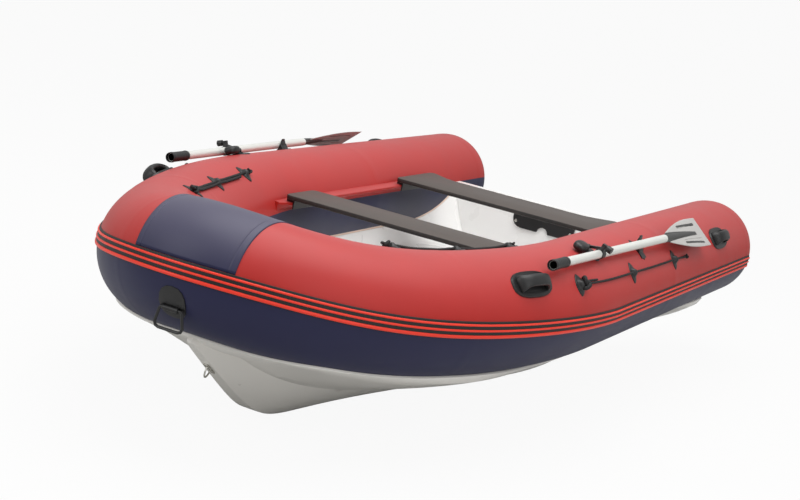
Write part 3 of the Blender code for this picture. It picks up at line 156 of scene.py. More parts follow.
@dataclass
class Wiring:
    """A material's node tree, with its texture coordinates and its Principled shader."""

    tree: bpy.types.NodeTree
    place: bpy.types.Node
    shader: bpy.types.Node

    def noise(self, scale: float, detail: float, roughness: float = 0.5,
              place: Socket | None = None) -> Socket:
        """Adds a noise.

        Args:
            scale: its grains to a metre.
            detail: how many finer layers it has.
            roughness: the strength of each finer layer.
            place: the place it is read at, or None for the place on the boat.

        Returns:
            Its height, from 0 to 1.
        """
        settings = {"Scale": scale, "Detail": detail, "Roughness": roughness}
        links = {"Vector": place or self.place.outputs["Object"]}
        return add_node(self.tree, "ShaderNodeTexNoise", settings, links).outputs["Fac"]

    def stretched(self, scale: tuple[float, float, float]) -> Socket:
        """The place on the boat, scaled along X, Y and Z."""
        return add_node(self.tree, "ShaderNodeMapping", {"Scale": scale},
                        {"Vector": self.place.outputs["Object"]}).outputs["Vector"]

    def upward(self, start: float, end: float, most: float) -> Socket:
        """A value that rises from 0 to its most as faces turn from one share of upright to another."""
        up = add_node(self.tree, "ShaderNodeSeparateXYZ", {}, {0: self.place.outputs["Normal"]})
        return respan(self.tree, up.outputs["Z"], (start, end), (0.0, most))

    def waves(self, spacing_mm: float, way: str) -> Socket:
        """Ridges along the piece's own UV map, a spacing apart."""
        return add_node(self.tree, "ShaderNodeTexWave",
                        {"Scale": math.pi / (spacing_mm * MM) / 10, "bands_direction": way},
                        {"Vector": self.place.outputs["UV"]}).outputs["Fac"]

    def cells(self, spacing_mm: float, settings: dict) -> Socket:
        """How far each place on the boat lies from the middle of its cell."""
        return add_node(self.tree, "ShaderNodeTexVoronoi", {"Scale": 1000 / spacing_mm, **settings},
                        {"Vector": self.place.outputs["Object"]}).outputs["Distance"]

    def overlaid(self, share: Socket, under: Socket, over: tuple[float, float, float, float]) -> Socket:
        """A colour with a share of another over it."""
        return add_node(self.tree, "ShaderNodeMix", {"data_type": "RGBA", 7: over},
                        {0: share, 6: under}).outputs[2]

    def bump(self, height: Socket, depth_mm: float, strength: float) -> None:
        """Adds relief, over the relief that the shader has.

        Args:
            height: the height's output, from 0 to 1.
            depth_mm: the relief's depth.
            strength: the share of it that shows.
        """
        normal = self.shader.inputs["Normal"]
        below = {"Normal": normal.links[0].from_socket} if normal.links else {}
        made = add_node(self.tree, "ShaderNodeBump", {"Distance": depth_mm * MM, "Strength": strength},
                        {"Height": height, **below})
        self.tree.links.new(made.outputs["Normal"], normal)


@dataclass(frozen=True)
class Finish:
    """A surface with a base colour, broad and fine variation, and relief.

    Each subclass draws its own relief and may shift the colour.
    """

    name: str
    colour: str
    roughness: float
    metallic: float = 0.0
    mottle: float = 0.04
    mottle_mm: float = 180.0
    polish_spread: float = 0.06
    specular: float = 0.5
    coat: float = 0.0
    coat_roughness: float = 0.03

    def build(self) -> bpy.types.Material:
        """Builds the material, or finds it where it stands already.

        Returns:
            A node material with a Principled shader.
        """
        found = bpy.data.materials.get(self.name)
        if found:
            return found
        made = bpy.data.materials.new(self.name)
        made.use_nodes = True
        tree = made.node_tree
        shader = tree.nodes["Principled BSDF"]
        wiring = Wiring(tree, add_node(tree, "ShaderNodeTexCoord", {}, {}), shader)
        broad = wiring.noise(1000 / self.mottle_mm, 4.0)
        base = linear(self.colour)
        dark = tuple(channel * (1 - 2 * self.mottle) for channel in base[:3]) + (1.0,)
        pale = tuple(min(1.0, channel * (1 + 2 * self.mottle)) for channel in base[:3]) + (1.0,)
        tint = add_node(tree, "ShaderNodeMix", {"data_type": "RGBA", 6: dark, 7: pale}, {0: broad})
        rough = respan(tree, broad, (0.0, 1.0), (self.roughness - self.polish_spread,
                                                 self.roughness + self.polish_spread))
        tree.links.new(rough, shader.inputs["Roughness"])
        tree.links.new(self.shade(wiring, tint.outputs[2]), shader.inputs["Base Color"])
        self.relief(wiring)
        for socket, value in (("Metallic", self.metallic), ("Specular IOR Level", self.specular),
                              ("Coat Weight", self.coat), ("Coat Roughness", self.coat_roughness)):
            shader.inputs[socket].default_value = value
        return made

    def shade(self, wiring: Wiring, colour: Socket) -> Socket:
        """Returns the colour as it is. A subclass may add to it."""
        return colour

    def relief(self, wiring: Wiring) -> None:
        """Adds no relief. A subclass adds its own."""


@dataclass(frozen=True)
class CoatedFabric(Finish):
    """PVC-coated polyester: a satin skin under a thin soft coat, which shows its cloth and has a painted
    sheen on its upward faces.

    The real thread spacing is about 0.5 mm. It is drawn at 5 mm, so that it shows as a soft grain.
    """

    specular: float = 0.22
    coat: float = 0.04
    coat_roughness: float = 0.35
    thread_mm: float = 5.0
    thread_depth_mm: float = 0.06
    slack_depth_mm: float = 6.0
    # The next two fields paint a pale pink-white sheen on the faces that look up: painted highlight.
    fade: float = 0.03
    chalk: tuple[float, float, float, float] = (1.0, 0.93, 1.0, 1.0)

    def shade(self, wiring: Wiring, colour: Socket) -> Socket:
        """Paints a pale sheen on the faces that look up: a painted highlight from the light above."""
        return wiring.overlaid(wiring.upward(0.1, 1.0, self.fade), colour, self.chalk)

    def relief(self, wiring: Wiring) -> None:
        """Two sets of threads across each other along the piece's own UV map, and slack in the skin.

        Args:
            wiring: the material's nodes.
        """
        threads = (wiring.waves(self.thread_mm, "X"), wiring.waves(self.thread_mm, "Y"))
        wiring.bump(combined(wiring.tree, "MAXIMUM", *threads), self.thread_depth_mm, 0.5)
        wiring.bump(wiring.noise(3.0, 2.0), self.slack_depth_mm, 0.3)


@dataclass(frozen=True)
class MouldedRubber(Finish):
    """EPDM rubber from a spark-eroded mould: matt, with a fine grain."""

    grain_mm: float = 1.4
    depth_mm: float = 0.18

    def relief(self, wiring: Wiring) -> None:
        """A fine noise, as the mould's own grain."""
        wiring.bump(wiring.noise(1000 / self.grain_mm, 2.0), self.depth_mm, 0.6)


@dataclass(frozen=True)
class Gelcoat(Finish):
    """Polyester gelcoat sprayed in a polished mould: glossy, faintly wavy, and scuffed low down."""

    coat: float = 0.35
    coat_roughness: float = 0.12
    tread_mm: float = 0.0
    dust: float = 0.10
    dust_colour: str = "#6d675c"
    dust_height: float = 0.20

    def shade(self, wiring: Wiring, colour: Socket) -> Socket:
        """Scuffs the lowest part, where the boat meets sand and trailer.

        Args:
            wiring: the material's nodes.
            colour: the colour so far.

        Returns:
            The scuffed colour.
        """
        marks = wiring.noise(1.0, 6.0, 0.7, wiring.stretched((3.0, 30.0, 30.0)))
        height = add_node(wiring.tree, "ShaderNodeSeparateXYZ", {}, {0: wiring.place.outputs["Object"]})
        low = respan(wiring.tree, height.outputs["Z"], (0.0, self.dust_height), (1.0, 0.25))
        sharp = respan(wiring.tree, marks, (0.5, 0.75), (0.0, self.dust))
        share = combined(wiring.tree, "MULTIPLY", low, sharp)
        return wiring.overlaid(share, colour, linear(self.dust_colour))

    def relief(self, wiring: Wiring) -> None:
        """A cast tread of raised dots on level faces, or the mould's waviness where there is none.

        Args:
            wiring: the material's nodes.
        """
        if not self.tread_mm:
            wiring.bump(wiring.noise(4.0, 1.0), 2.0, 0.4)
            return
        dots = wiring.cells(self.tread_mm, {"Randomness": 0.0})
        cast = respan(wiring.tree, dots, (0.2, 0.4), (1.0, 0.0))
        flat = wiring.upward(0.97, 0.995, 1.0)
        wiring.bump(combined(wiring.tree, "MULTIPLY", cast, flat), 0.6, 0.5)


@dataclass(frozen=True)
class StainedPlank(Finish):
    """Marine plywood, stained and oiled: a long grain across the boat under a thin satin film."""

    grain_mm: float = 7.0
    grain_colour: str = "#3f362f"

    def shade(self, wiring: Wiring, colour: Socket) -> Socket:
        """Darker growth lines that run along Y."""
        share = respan(wiring.tree, self.grain(wiring), (0.45, 0.7), (0.0, 0.35))
        return wiring.overlaid(share, colour, linear(self.grain_colour))

    def grain(self, wiring: Wiring) -> Socket:
        """Noise drawn out 25 times along the plank."""
        step = 1000 / self.grain_mm
        return wiring.noise(1.0, 5.0, 0.6, wiring.stretched((step, step / 25, step)))

    def relief(self, wiring: Wiring) -> None:
        """Open grain, a fifth of a millimetre deep."""
        wiring.bump(self.grain(wiring), 0.2, 0.6)


@dataclass(frozen=True)
class DrawnAlloy(Finish):
    """Aluminium tube, drawn and silver anodised: pale, with fine lines along the tube."""

    line_mm: float = 1.2

    def relief(self, wiring: Wiring) -> None:
        """Draw lines, which run along X."""
        step = 1000 / self.line_mm
        wiring.bump(wiring.noise(1.0, 3.0, place=wiring.stretched((step / 60, step, step))), 0.03, 0.5)


@dataclass(frozen=True)
class MouldedPlastic(Finish):
    """Glass-filled nylon or polypropylene from a textured tool: satin, with an orange-peel grain."""

    grain_mm: float = 2.2

    def relief(self, wiring: Wiring) -> None:
        """The tool's texture."""
        wiring.bump(wiring.cells(self.grain_mm, {"feature": "SMOOTH_F1"}), 0.12, 0.5)


@dataclass(frozen=True)
class LaidRope(Finish):
    """Polypropylene rope: matt, with yarns that cross the strands along the piece's UV map."""

    yarn_mm: float = 2.0

    def relief(self, wiring: Wiring) -> None:
        """Slanted yarns, drawn along the rope's own length and turn."""
        wiring.bump(wiring.waves(self.yarn_mm, "DIAGONAL"), 0.4, 0.8)


@dataclass(frozen=True)
class Stainless(Finish):
    """Stainless steel, electropolished after forming: bright, with a slight haze."""


# The last argument of each fabric below is the strength of its painted top sheen, a painted highlight.
RED_FABRIC = CoatedFabric("pvc_fabric_red", "#a7201a", 0.42, fade=0.04)
NAVY_FABRIC = CoatedFabric("pvc_fabric_navy", "#212241", 0.46, fade=0.07)
BOND_TAPE = CoatedFabric("pvc_tape_cream", "#ead3c2", 0.5, fade=0.0)
RIB_RED = MouldedRubber("strake_rubber_red", "#e22d14", 0.42, mottle=0.03)
RIB_BLACK = MouldedRubber("strake_rubber_black", "#0a0a09", 0.55, mottle=0.08)
BLACK_RUBBER = MouldedRubber("moulded_rubber_black", "#101011", 0.44, mottle=0.12)
HULL_GEL = Gelcoat("gelcoat_light_grey", "#dad7d2", 0.30, mottle=0.012, dust=0.05)
LINER_GEL = Gelcoat("gelcoat_white", "#f3f3f1", 0.28, mottle=0.006, tread_mm=9.0, dust=0.02)
PLANK = StainedPlank("plywood_stained", "#4a423d", 0.50, mottle=0.08)
# A darker copy of the plank's finish for its side faces: painted shade.
PLANK_SIDE_PAINTED_SHADE = StainedPlank("plywood_edge", "#171412", 0.58, mottle=0.08)
ALLOY = DrawnAlloy("anodised_tube", "#dedfda", 0.34, metallic=0.35, mottle=0.02)
BLADE_PLASTIC = MouldedPlastic("polypropylene_grey", "#adaba8", 0.46)
RIB_PLASTIC = MouldedPlastic("polypropylene_dark_grey", "#333332", 0.46)
NYLON = MouldedPlastic("nylon_black", "#111112", 0.38, mottle=0.12)
ROPE = LaidRope("polypropylene_rope", "#101011", 0.72, mottle=0.15, mottle_mm=20.0)
STEEL = Stainless("stainless_polished", "#b5b3ac", 0.22, metallic=1.0)


# Mesh making


def added(name: str, data: bpy.types.ID) -> bpy.types.Object:
    """A new object in the scene, which holds a mesh, a lamp or a camera.

    Args:
        name: its name.
        data: what it holds.

    Returns:
        The object.
    """
    made = bpy.data.objects.new(name, data)
    bpy.context.scene.collection.objects.link(made)
    return made


def grid_object(name: str, points: np.ndarray, uv: np.ndarray | None = None, merge: float = 2e-6,
                sharp: float = 40.0) -> bpy.types.Object:
    """Joins a grid of points with quads: corner (i, j) to (i + 1, j + 1).

    A surface that closes on itself repeats its first row or column as its last, and a pole is a row of
    one point. Both are merged here, and the faces are then turned outwards.

    Args:
        name: the object's name.
        points: rows by columns by 3.
        uv: rows by columns by 2, in metres, or None.
        merge: the distance within which points are one.
        sharp: the angle in degrees above which an edge stays sharp.

    Returns:
        The object, with its place in its mesh.
    """
    rows, columns = points.shape[:2]
    start = (np.arange(rows - 1)[:, None] * columns + np.arange(columns - 1)[None, :]).ravel()
    faces = np.stack([start, start + 1, start + columns + 1, start + columns], axis=1)
    mesh = bpy.data.meshes.new(name)
    mesh.from_pydata(points.reshape(-1, 3).tolist(), [], faces.tolist())
    if uv is not None:
        corners = np.empty(len(mesh.loops), dtype=np.int32)
        mesh.loops.foreach_get("vertex_index", corners)
        layer = mesh.uv_layers.new(name="UVMap")
        layer.data.foreach_set("uv", uv.reshape(-1, 2)[corners].astype(np.float32).ravel())
    tidy_mesh(mesh, merge, sharp)
    return added(name, mesh)


def tidy_mesh(mesh: bpy.types.Mesh, merge: float, sharp: float) -> None:
    """Merges doubled points, drops empty faces, turns the faces outwards and shades them smooth.

    Args:
        mesh: the mesh.
        merge: the distance within which points are one.
        sharp: the angle in degrees above which an edge stays sharp.
    """
    work = bmesh.new()
    work.from_mesh(mesh)
    bmesh.ops.remove_doubles(work, verts=work.verts, dist=merge)
    bmesh.ops.dissolve_degenerate(work, edges=work.edges, dist=merge / 2)
    bmesh.ops.recalc_face_normals(work, faces=work.faces)
    work.to_mesh(mesh)
    work.free()
    mesh.shade_smooth()
    mesh.set_sharp_from_angle(angle=math.radians(sharp))


def joined(name: str, items: Sequence[bpy.types.Object]) -> bpy.types.Object:
    """Joins objects, each with its materials, into one.

    Args:
        name: the new object's name.
        items: the objects, which are removed.

    Returns:
        The object that holds them all.
    """
    materials: list[bpy.types.Material] = []
    work = bmesh.new()
    for item in items:
        before = len(work.faces)
        work.from_mesh(item.data)
        work.faces.ensure_lookup_table()
        places = []
        for material in item.data.materials:
            if material not in materials:
                materials.append(material)
            places.append(materials.index(material))
        for face in work.faces[before:]:
            face.material_index = places[face.material_index]
    mesh = bpy.data.meshes.new(name)
    work.to_mesh(mesh)
    work.free()
    for material in materials:
        mesh.materials.append(material)
    for item in items:
        bpy.data.objects.remove(item, do_unlink=True)
    return added(name, mesh)


def paint(item: bpy.types.Object, *finishes: Finish) -> bpy.types.Object:
    """Gives an object its materials, the first of which every face starts with.

    Args:
        item: the object.
        finishes: its surfaces.

    Returns:
        The same object.
    """
    item.data.materials.clear()
    for finish in finishes:
        item.data.materials.append(finish.build())
    return item


def paint_faces(item: bpy.types.Object, chosen: np.ndarray, slot: int) -> None:
    """Gives the chosen faces another of the object's materials.

    Args:
        item: the object.
        chosen: true for each face that changes.
        slot: the material's number.
    """
    indices = np.zeros(len(item.data.polygons), dtype=np.int32)
    item.data.polygons.foreach_get("material_index", indices)
    indices[chosen] = slot
    item.data.polygons.foreach_set("material_index", indices)
    item.data.update()


def face_centres(item: bpy.types.Object) -> np.ndarray:
    """The middles of an object's faces.

    Args:
        item: the object.

    Returns:
        Faces by 3.
    """
    centres = np.zeros(len(item.data.polygons) * 3)
    item.data.polygons.foreach_get("center", centres)
    return centres.reshape(-1, 3)


def face_normals(item: bpy.types.Object) -> np.ndarray:
    """The directions of an object's faces.

    Args:
        item: the object.

    Returns:
        Faces by 3.
    """
    normals = np.zeros(len(item.data.polygons) * 3)
    item.data.polygons.foreach_get("normal", normals)
    return normals.reshape(-1, 3)


def face_along(item: bpy.types.Object, axis: int, sign: int) -> None:
    """Flips a sheet's faces where on the whole they look against an axis, taken with the sign."""
    if face_normals(item)[:, axis].sum() * sign < 0:
        item.data.flip_normals()


def dress(item: bpy.types.Object, body: str, slot: str, *nodes: str) -> None:
    """Makes a piece ride on a body and stand for CAD nodes, and logs it.

    Args:
        item: the piece.
        body: the body it moves with.
        slot: the record's material slot, which isn't used.
        nodes: the CAD nodes it stands for.
    """
    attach(item, body)
    if nodes:
        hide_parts(*nodes)
    log.info("%s: %d faces, on %s", item.name, len(item.data.polygons), body)


def thicken(item: bpy.types.Object, thickness: float, offset: float, even: bool = True) -> None:
    """Gives an open sheet its thickness, all on one side of it where the offset is 1 or -1.

    Args:
        item: the sheet.
        thickness: its wall.
        offset: the side that the wall grows on.
        even: whether the wall keeps its thickness round a corner.
    """
    shell = item.modifiers.new("wall", "SOLIDIFY")
    shell.thickness = thickness
    shell.offset = offset
    shell.use_even_offset = even


def unit(vectors: np.ndarray) -> np.ndarray:
    """The vectors at a length of 1."""
    return vectors / np.maximum(np.linalg.norm(vectors, axis=-1, keepdims=True), 1e-12)


def path_length(path: np.ndarray) -> np.ndarray:
    """How far along a path each of its points lies."""
    return np.concatenate([[0], np.cumsum(np.linalg.norm(np.diff(path, axis=0), axis=1))])


def flat_map(along: np.ndarray, across: np.ndarray) -> np.ndarray:
    """A UV map, in metres: how far along each row lies, and how far across each column."""
    return np.stack(np.broadcast_arrays(along[:, None], across), axis=2)


def sweep(path: np.ndarray, up: np.ndarray, profile: np.ndarray) -> np.ndarray:
    """Carries a profile along a path: each point is path + a * side + b * up.

    Args:
        path: stations by 3.
        up: the profile's up, by station or one for all.
        profile: stations by points by 2, or points by 2 for all.

    Returns:
        Stations by points by 3.
    """
    run = unit(np.gradient(path, axis=0))
    side = unit(np.cross(run, np.broadcast_to(up, path.shape)))
    upright = np.cross(side, run)
    shape = np.broadcast_to(profile, (len(path),) + profile.shape[-2:])
    return path[:, None, :] + shape[..., :1] * side[:, None, :] + shape[..., 1:] * upright[:, None, :]


def circle(radius: float, count: int) -> np.ndarray:
    """A closed circle as a profile, its last point on its first."""
    turn = np.linspace(0, 2 * math.pi, count + 1)
    return np.stack([radius * np.cos(turn), radius * np.sin(turn)], axis=1)


def capped(points: np.ndarray) -> np.ndarray:
    """Closes the ends of a swept tube with a pole at the middle of each.

    Args:
        points: stations by points by 3, each station's last point on its first.

    Returns:
        The same with a station more at each end.
    """
    first = np.broadcast_to(points[0, :-1].mean(axis=0), points[0].shape)
    last = np.broadcast_to(points[-1, :-1].mean(axis=0), points[-1].shape)
    return np.concatenate([first[None], points, last[None]])


def turned(profile: np.ndarray, count: int) -> np.ndarray:
    """A profile of radius and height, turned round Z.

    Args:
        profile: points by 2.
        count: steps of the turn.

    Returns:
        Profile points by steps by 3.
    """
    turn = np.linspace(0, 2 * math.pi, count + 1)
    radius, height = profile[:, :1], profile[:, 1:]
    return np.stack([radius * np.cos(turn), radius * np.sin(turn), height + 0 * turn], axis=2)


def smooth_curve(points: np.ndarray, step: float) -> np.ndarray:
    """A Catmull-Rom curve through points, read off at even steps.

    Args:
        points: count by 3.
        step: the distance between the points that come out.

    Returns:
        The curve's points.
    """
    ends = np.concatenate([[2 * points[0] - points[1]], points, [2 * points[-1] - points[-2]]])
    t = np.linspace(0, 1, 16, endpoint=False)[:, None, None]
    a, b, c, d = (ends[None, start:len(ends) - 3 + start] for start in range(4))
    fine = 0.5 * (2 * b + (c - a) * t + (2 * a - 5 * b + 4 * c - d) * t ** 2
                  + (3 * b - a - 3 * c + d) * t ** 3)
    fine = np.concatenate([fine.transpose(1, 0, 2).reshape(-1, 3), points[-1:]])
    length = path_length(fine)
    places = np.linspace(0, length[-1], max(2, round(length[-1] / step)) + 1)
    return np.stack([np.interp(places, length, fine[:, axis]) for axis in range(3)], axis=1)


def rope_points(path: np.ndarray, up: np.ndarray, radius: float, strands: int, pitch: float) -> np.ndarray:
    """A laid rope: its radius swells at each strand, and the strands turn along its length.

    Args:
        path: the rope's centreline.
        up: the direction that the lay is measured from.
        radius: the rope's greatest radius.
        strands: how many strands it has.
        pitch: the length of a full turn of the lay.

    Returns:
        Stations by points by 3, with closed ends.
    """
    turn = np.linspace(0, 2 * math.pi, 6 * strands + 1)
    lay = turn[None, :] * strands / 2 - math.pi * strands * path_length(path)[:, None] / pitch
    swell = radius * (0.70 + 0.30 * np.abs(np.cos(lay)))
    profile = np.stack([swell * np.cos(turn), swell * np.sin(turn)], axis=2)
    return capped(sweep(path, up, profile))


def rope_uv(points: np.ndarray, radius: float) -> np.ndarray:
    """A map along and round a rope, in metres."""
    along = path_length(points[:, :-1].mean(axis=1))
    return flat_map(along, np.linspace(0, 2 * math.pi * radius, points.shape[1]))


def smooth_step(value: np.ndarray, start: float, end: float) -> np.ndarray:
    """0 before the start and 1 after the end, with a smooth rise between."""
    share = np.clip((value - start) / (end - start), 0, 1)
    return share * share * (3 - 2 * share)


# The boat's own lines


@dataclass(frozen=True)
class TubeLine:
    """The U of the air tubes: the same curve that the solids follow.

    t runs from 0 at the port stern over 1, 2 at the tip and 3, to 4 at the starboard stern.
    """

    radius: float = 0.215
    spacing: float = 1.392
    straight: float = 1.872
    bow_length: float = 1.440
    bow_hold: float = 0.806
    bow_shoulder: float = 0.295
    bow_twist: float = 13.2
    sheer_length: float = 0.937
    sheer_rise: float = 0.0823
    sheer_power: float = 3.937
    keel_depth: float = 0.515
    stern_x: float = -1.6972

    @property
    def tip_x(self) -> float:
        """The centreline's foremost X, forward of the stern."""
        return self.straight + self.bow_length

    def centre(self, t: np.ndarray) -> np.ndarray:
        """The centreline: straight, then a cubic curve round the bow whose height rises with X.

        Args:
            t: places along the U.

        Returns:
            Points forward of the stern, to port and above the straight tubes' centrelines.
        """
        t = np.asarray(t, float)
        port = np.where(t > 2, 4 - t, t)
        k = np.clip(port - 1, 0, 1)
        half = self.spacing / 2
        weights = [(1 - k) ** 3, 3 * k * (1 - k) ** 2, 3 * k * k * (1 - k), k ** 3]
        knots = [(self.straight, half), (self.straight + self.bow_hold, half),
                 (self.tip_x, self.bow_shoulder), (self.tip_x, 0.0)]
        curve_x = sum(weight * knot[0] for weight, knot in zip(weights, knots))
        y = sum(weight * knot[1] for weight, knot in zip(weights, knots))
        x = np.where(port <= 1, port * self.straight, curve_x)
        rise = np.clip((x - self.tip_x + self.sheer_length) / self.sheer_length, 0, None)
        z = self.sheer_rise * rise ** self.sheer_power
        return np.stack([x, np.where(t > 2, -y, y), z], axis=-1)

    def axes(self, t: np.ndarray) -> tuple[np.ndarray, np.ndarray, np.ndarray, np.ndarray]:
        """The frame at places along the U.

        Args:
            t: places along the U.

        Returns:
            The centre, outboard, up, and the strake's turn in degrees.
        """
        step = 1e-4
        t = np.asarray(t, float)
        middle = self.centre(t)
        run = unit(self.centre(t + step) - self.centre(t - step))
        outboard = unit(np.stack([-run[..., 1], run[..., 0], 0 * run[..., 0]], axis=-1))
        upward = np.cross(run, outboard)
        twist = self.bow_twist * np.clip(middle[..., 0] - self.straight, 0, None) / self.bow_length
        return middle, outboard, upward, twist

    def surface(self, t: np.ndarray, angle: np.ndarray, height: np.ndarray | float,
                from_strake: bool = True) -> np.ndarray:
        """Points on the tube or above it: centre + (radius + height) (cos outboard + sin up).

        Args:
            t: places along the U.
            angle: degrees round the tube.
            height: above the tube's skin.
            from_strake: whether the angle is taken from the strake's line, which turns in the bow.

        Returns:
            Points in the model's frame.
        """
        middle, outboard, upward, twist = self.axes(t)
        turned_by = np.radians(angle + (twist if from_strake else 0))[..., None]
        reach = (self.radius + np.asarray(height))[..., None]
        point = middle + reach * (np.cos(turned_by) * outboard + np.sin(turned_by) * upward)
        return point + np.array([self.stern_x, 0.0, self.keel_depth])

    def t_at(self, x: np.ndarray) -> np.ndarray:
        """The port place whose centre lies at X, forward of the stern."""
        table = np.linspace(0, 2, 801)
        return np.interp(x, self.centre(table)[:, 0], table)

    def wrap(self, local: np.ndarray, x: float, angle: float, side: Side) -> np.ndarray:
        """Lays a flat pattern on the tube: its first size round it, its second forward, its third out.

        Args:
            local: points, in metres.
            x: the pattern's middle, forward of the stern.
            angle: the pattern's middle round the tube.
            side: port or starboard.

        Returns:
            Points in the model's frame.
        """
        t0 = float(self.t_at(np.array(x)))
        pace = float(np.linalg.norm(self.centre(t0 + 5e-4) - self.centre(t0 - 5e-4)) / 1e-3)
        t = t0 + local[..., 1] / pace
        point = self.surface(t, angle + np.degrees(local[..., 0] / self.radius), local[..., 2], False)
        return point * side.mirror


LINE = TubeLine()
SHEET_GAP = 0.0008
PANEL_WAY = np.array([0.0, 0.75, -0.65])


def at(x: float, y: float, z: float) -> np.ndarray:
    """A point given forward of the stern, to port and above the tubes' centrelines."""
    return np.array([x + LINE.stern_x, y, z + LINE.keel_depth])


def round_bow(port: np.ndarray) -> np.ndarray:
    """Places from the port stern to the tip, carried on to the starboard stern."""
    return np.concatenate([port, 4 - port[-2::-1]])


def tip_places(count: int) -> np.ndarray:
    """Places along the port half of the bow, closer together towards the tip."""
    return 2 - (1 - np.linspace(0, 1, count)[1:]) ** 1.3


def half_sections(t: np.ndarray, rows: Sequence[np.ndarray]) -> np.ndarray:
    """Joins rows of points into half sections, and puts the one at the tip on the middle plane.

    Args:
        t: places along the port tube.
        rows: parts of each section, stations by points by 3.

    Returns:
        Half sections in the model's frame.
    """
    half = np.concatenate(rows, axis=1)
    half[t > 2 - 1e-6, :, 1] = 0
    return half + at(0, 0, 0)


def whole(half: np.ndarray) -> np.ndarray:
    """Half sections that end on the middle plane, and their mirror images."""
    return np.concatenate([half, half[:, -2::-1] * Side.STARBOARD.mirror], axis=1)


def both(build: Callable[[Side], None]) -> None:
    """Builds a piece to port and to starboard."""
    for side in Side:
        build(side)


@dataclass
class AirTubes:
    """The three air chambers as one skin: red above, navy below and inboard, with lapped seams."""

    strake_line: float = -5.35
    colour_line: float = 168.0
    dome_depth: float = 0.141
    lap_places: tuple[float, ...] = (0.02, 0.62, 1.40, 1.83)
    lap_width: float = 0.030
    lap_height: float = 0.0004
    lap_fall: float = 0.004
    upper_steps: int = 58
    lower_steps: int = 58
    dome_steps: int = 12

    def build(self) -> None:
        """Makes the skin, and paints it navy below the strake and below the inner colour line."""
        upper = np.linspace(self.strake_line, self.colour_line, self.upper_steps + 1)
        lower = np.linspace(self.colour_line, self.strake_line + 360, self.lower_steps + 1)[1:]
        angle = np.concatenate([upper, lower])
        t = self.places()
        height = np.zeros((len(t), 1))
        for place in self.laps():
            near = np.abs(t - place)[:, None]
            half = self.lap_width / 2 / LINE.straight
            height += self.lap_height * (1 - smooth_step(near, half, half + self.lap_fall))
        skin = LINE.surface(t[:, None], angle[None, :], height + 0 * angle[None, :])
        points = np.concatenate([self.dome(0.0, angle), skin, self.dome(4.0, angle)[::-1]])
        uv = flat_map(path_length(points.mean(axis=1)), np.radians(angle) * LINE.radius)
        tubes = paint(grid_object("air_tubes", points, uv), RED_FABRIC, NAVY_FABRIC)
        column = np.arange(len(tubes.data.polygons)) % (len(angle) - 1)
        paint_faces(tubes, column >= self.upper_steps, 1)
        dress(tubes, "boat", "red_fabric", "chamber_port", "chamber_starboard", "chamber_bow")

    def laps(self) -> list[float]:
        """The seams round the tubes, to port and to starboard."""
        return [*self.lap_places, *(4 - place for place in self.lap_places)]

    def places(self) -> np.ndarray:
        """Even places along the U, closer in the bow, and some at each edge of a seam.

        Returns:
            The places.
        """
        port = np.concatenate([np.linspace(0, 1, 25), np.linspace(1, 2, 61)[1:]])
        half = self.lap_width / 2 / LINE.straight
        edges = [place + shift for place in self.lap_places
                 for shift in (-half - self.lap_fall, -half, half, half + self.lap_fall)]
        return round_bow(np.unique(np.concatenate([port, edges])))

    def dome(self, end: float, angle: np.ndarray) -> np.ndarray:
        """A stern dome: radius cos(a), set back by depth sin(a), from its pole to the tube.

        Args:
            end: the tube's end, 0 or 4.
            angle: degrees round the tube.

        Returns:
            Rings by angles by 3.
        """
        lean = np.radians(np.linspace(90, 0, self.dome_steps + 1)[:-1])[:, None]
        inset = LINE.radius * (np.cos(lean) - 1) + 0 * angle[None, :]
        ring = LINE.surface(end + 0 * lean, angle[None, :], inset)
        return ring - np.array([self.dome_depth, 0, 0]) * np.sin(lean)[..., None]


@dataclass
class RubbingStrake:
    """The ribbed rubber fender: three red ribs, the lowest the widest, in a black body."""

    low: float = -13.4
    high: float = 2.7
    base: float = 0.0040
    rib: float = 0.0042
    sunk: float = -0.0005
    ribs: tuple[tuple[float, float], ...] = ((0.05, 0.24), (0.42, 0.55), (0.73, 0.86))
    steps: int = 100

    def build(self) -> None:
        """Sweeps the ribbed profile round the U and paints its ribs."""
        share = np.linspace(0, 1, self.steps + 1)
        height = np.full_like(share, self.base) * smooth_step(share, -0.01, 0.03) * (
            1 - smooth_step(share, 0.97, 1.01))
        for low, high in self.ribs:
            swell = 1 - ((share - (low + high) / 2) / ((high - low) / 2)) ** 2
            height += self.rib * np.sqrt(np.clip(swell, 0, 1)) ** 0.8
        angle = self.low + (self.high - self.low) * share
        t = round_bow(np.concatenate([np.linspace(0, 1, 33), np.linspace(1, 2, 81)[1:]]))
        outer = LINE.surface(t[:, None], angle[None, :], height[None, :] + 0 * t[:, None])
        inner = LINE.surface(t[:, None], angle[None, ::-1], np.full((len(t), len(angle)), self.sunk))
        ring = np.concatenate([outer, inner, outer[:, :1]], axis=1)
        strake = paint(grid_object("strake", capped(ring), merge=1e-6, sharp=60), RIB_BLACK, RIB_RED)
        column = np.arange(len(strake.data.polygons)) % (ring.shape[1] - 1)
        middle = (column + 0.5) / self.steps
        red = np.zeros(len(column), bool)
        for low, high in self.ribs:
            red |= (middle > low) & (middle < high)
        paint_faces(strake, red, 1)
        dress(strake, "boat", "black_rubber", "rubbing_strake")


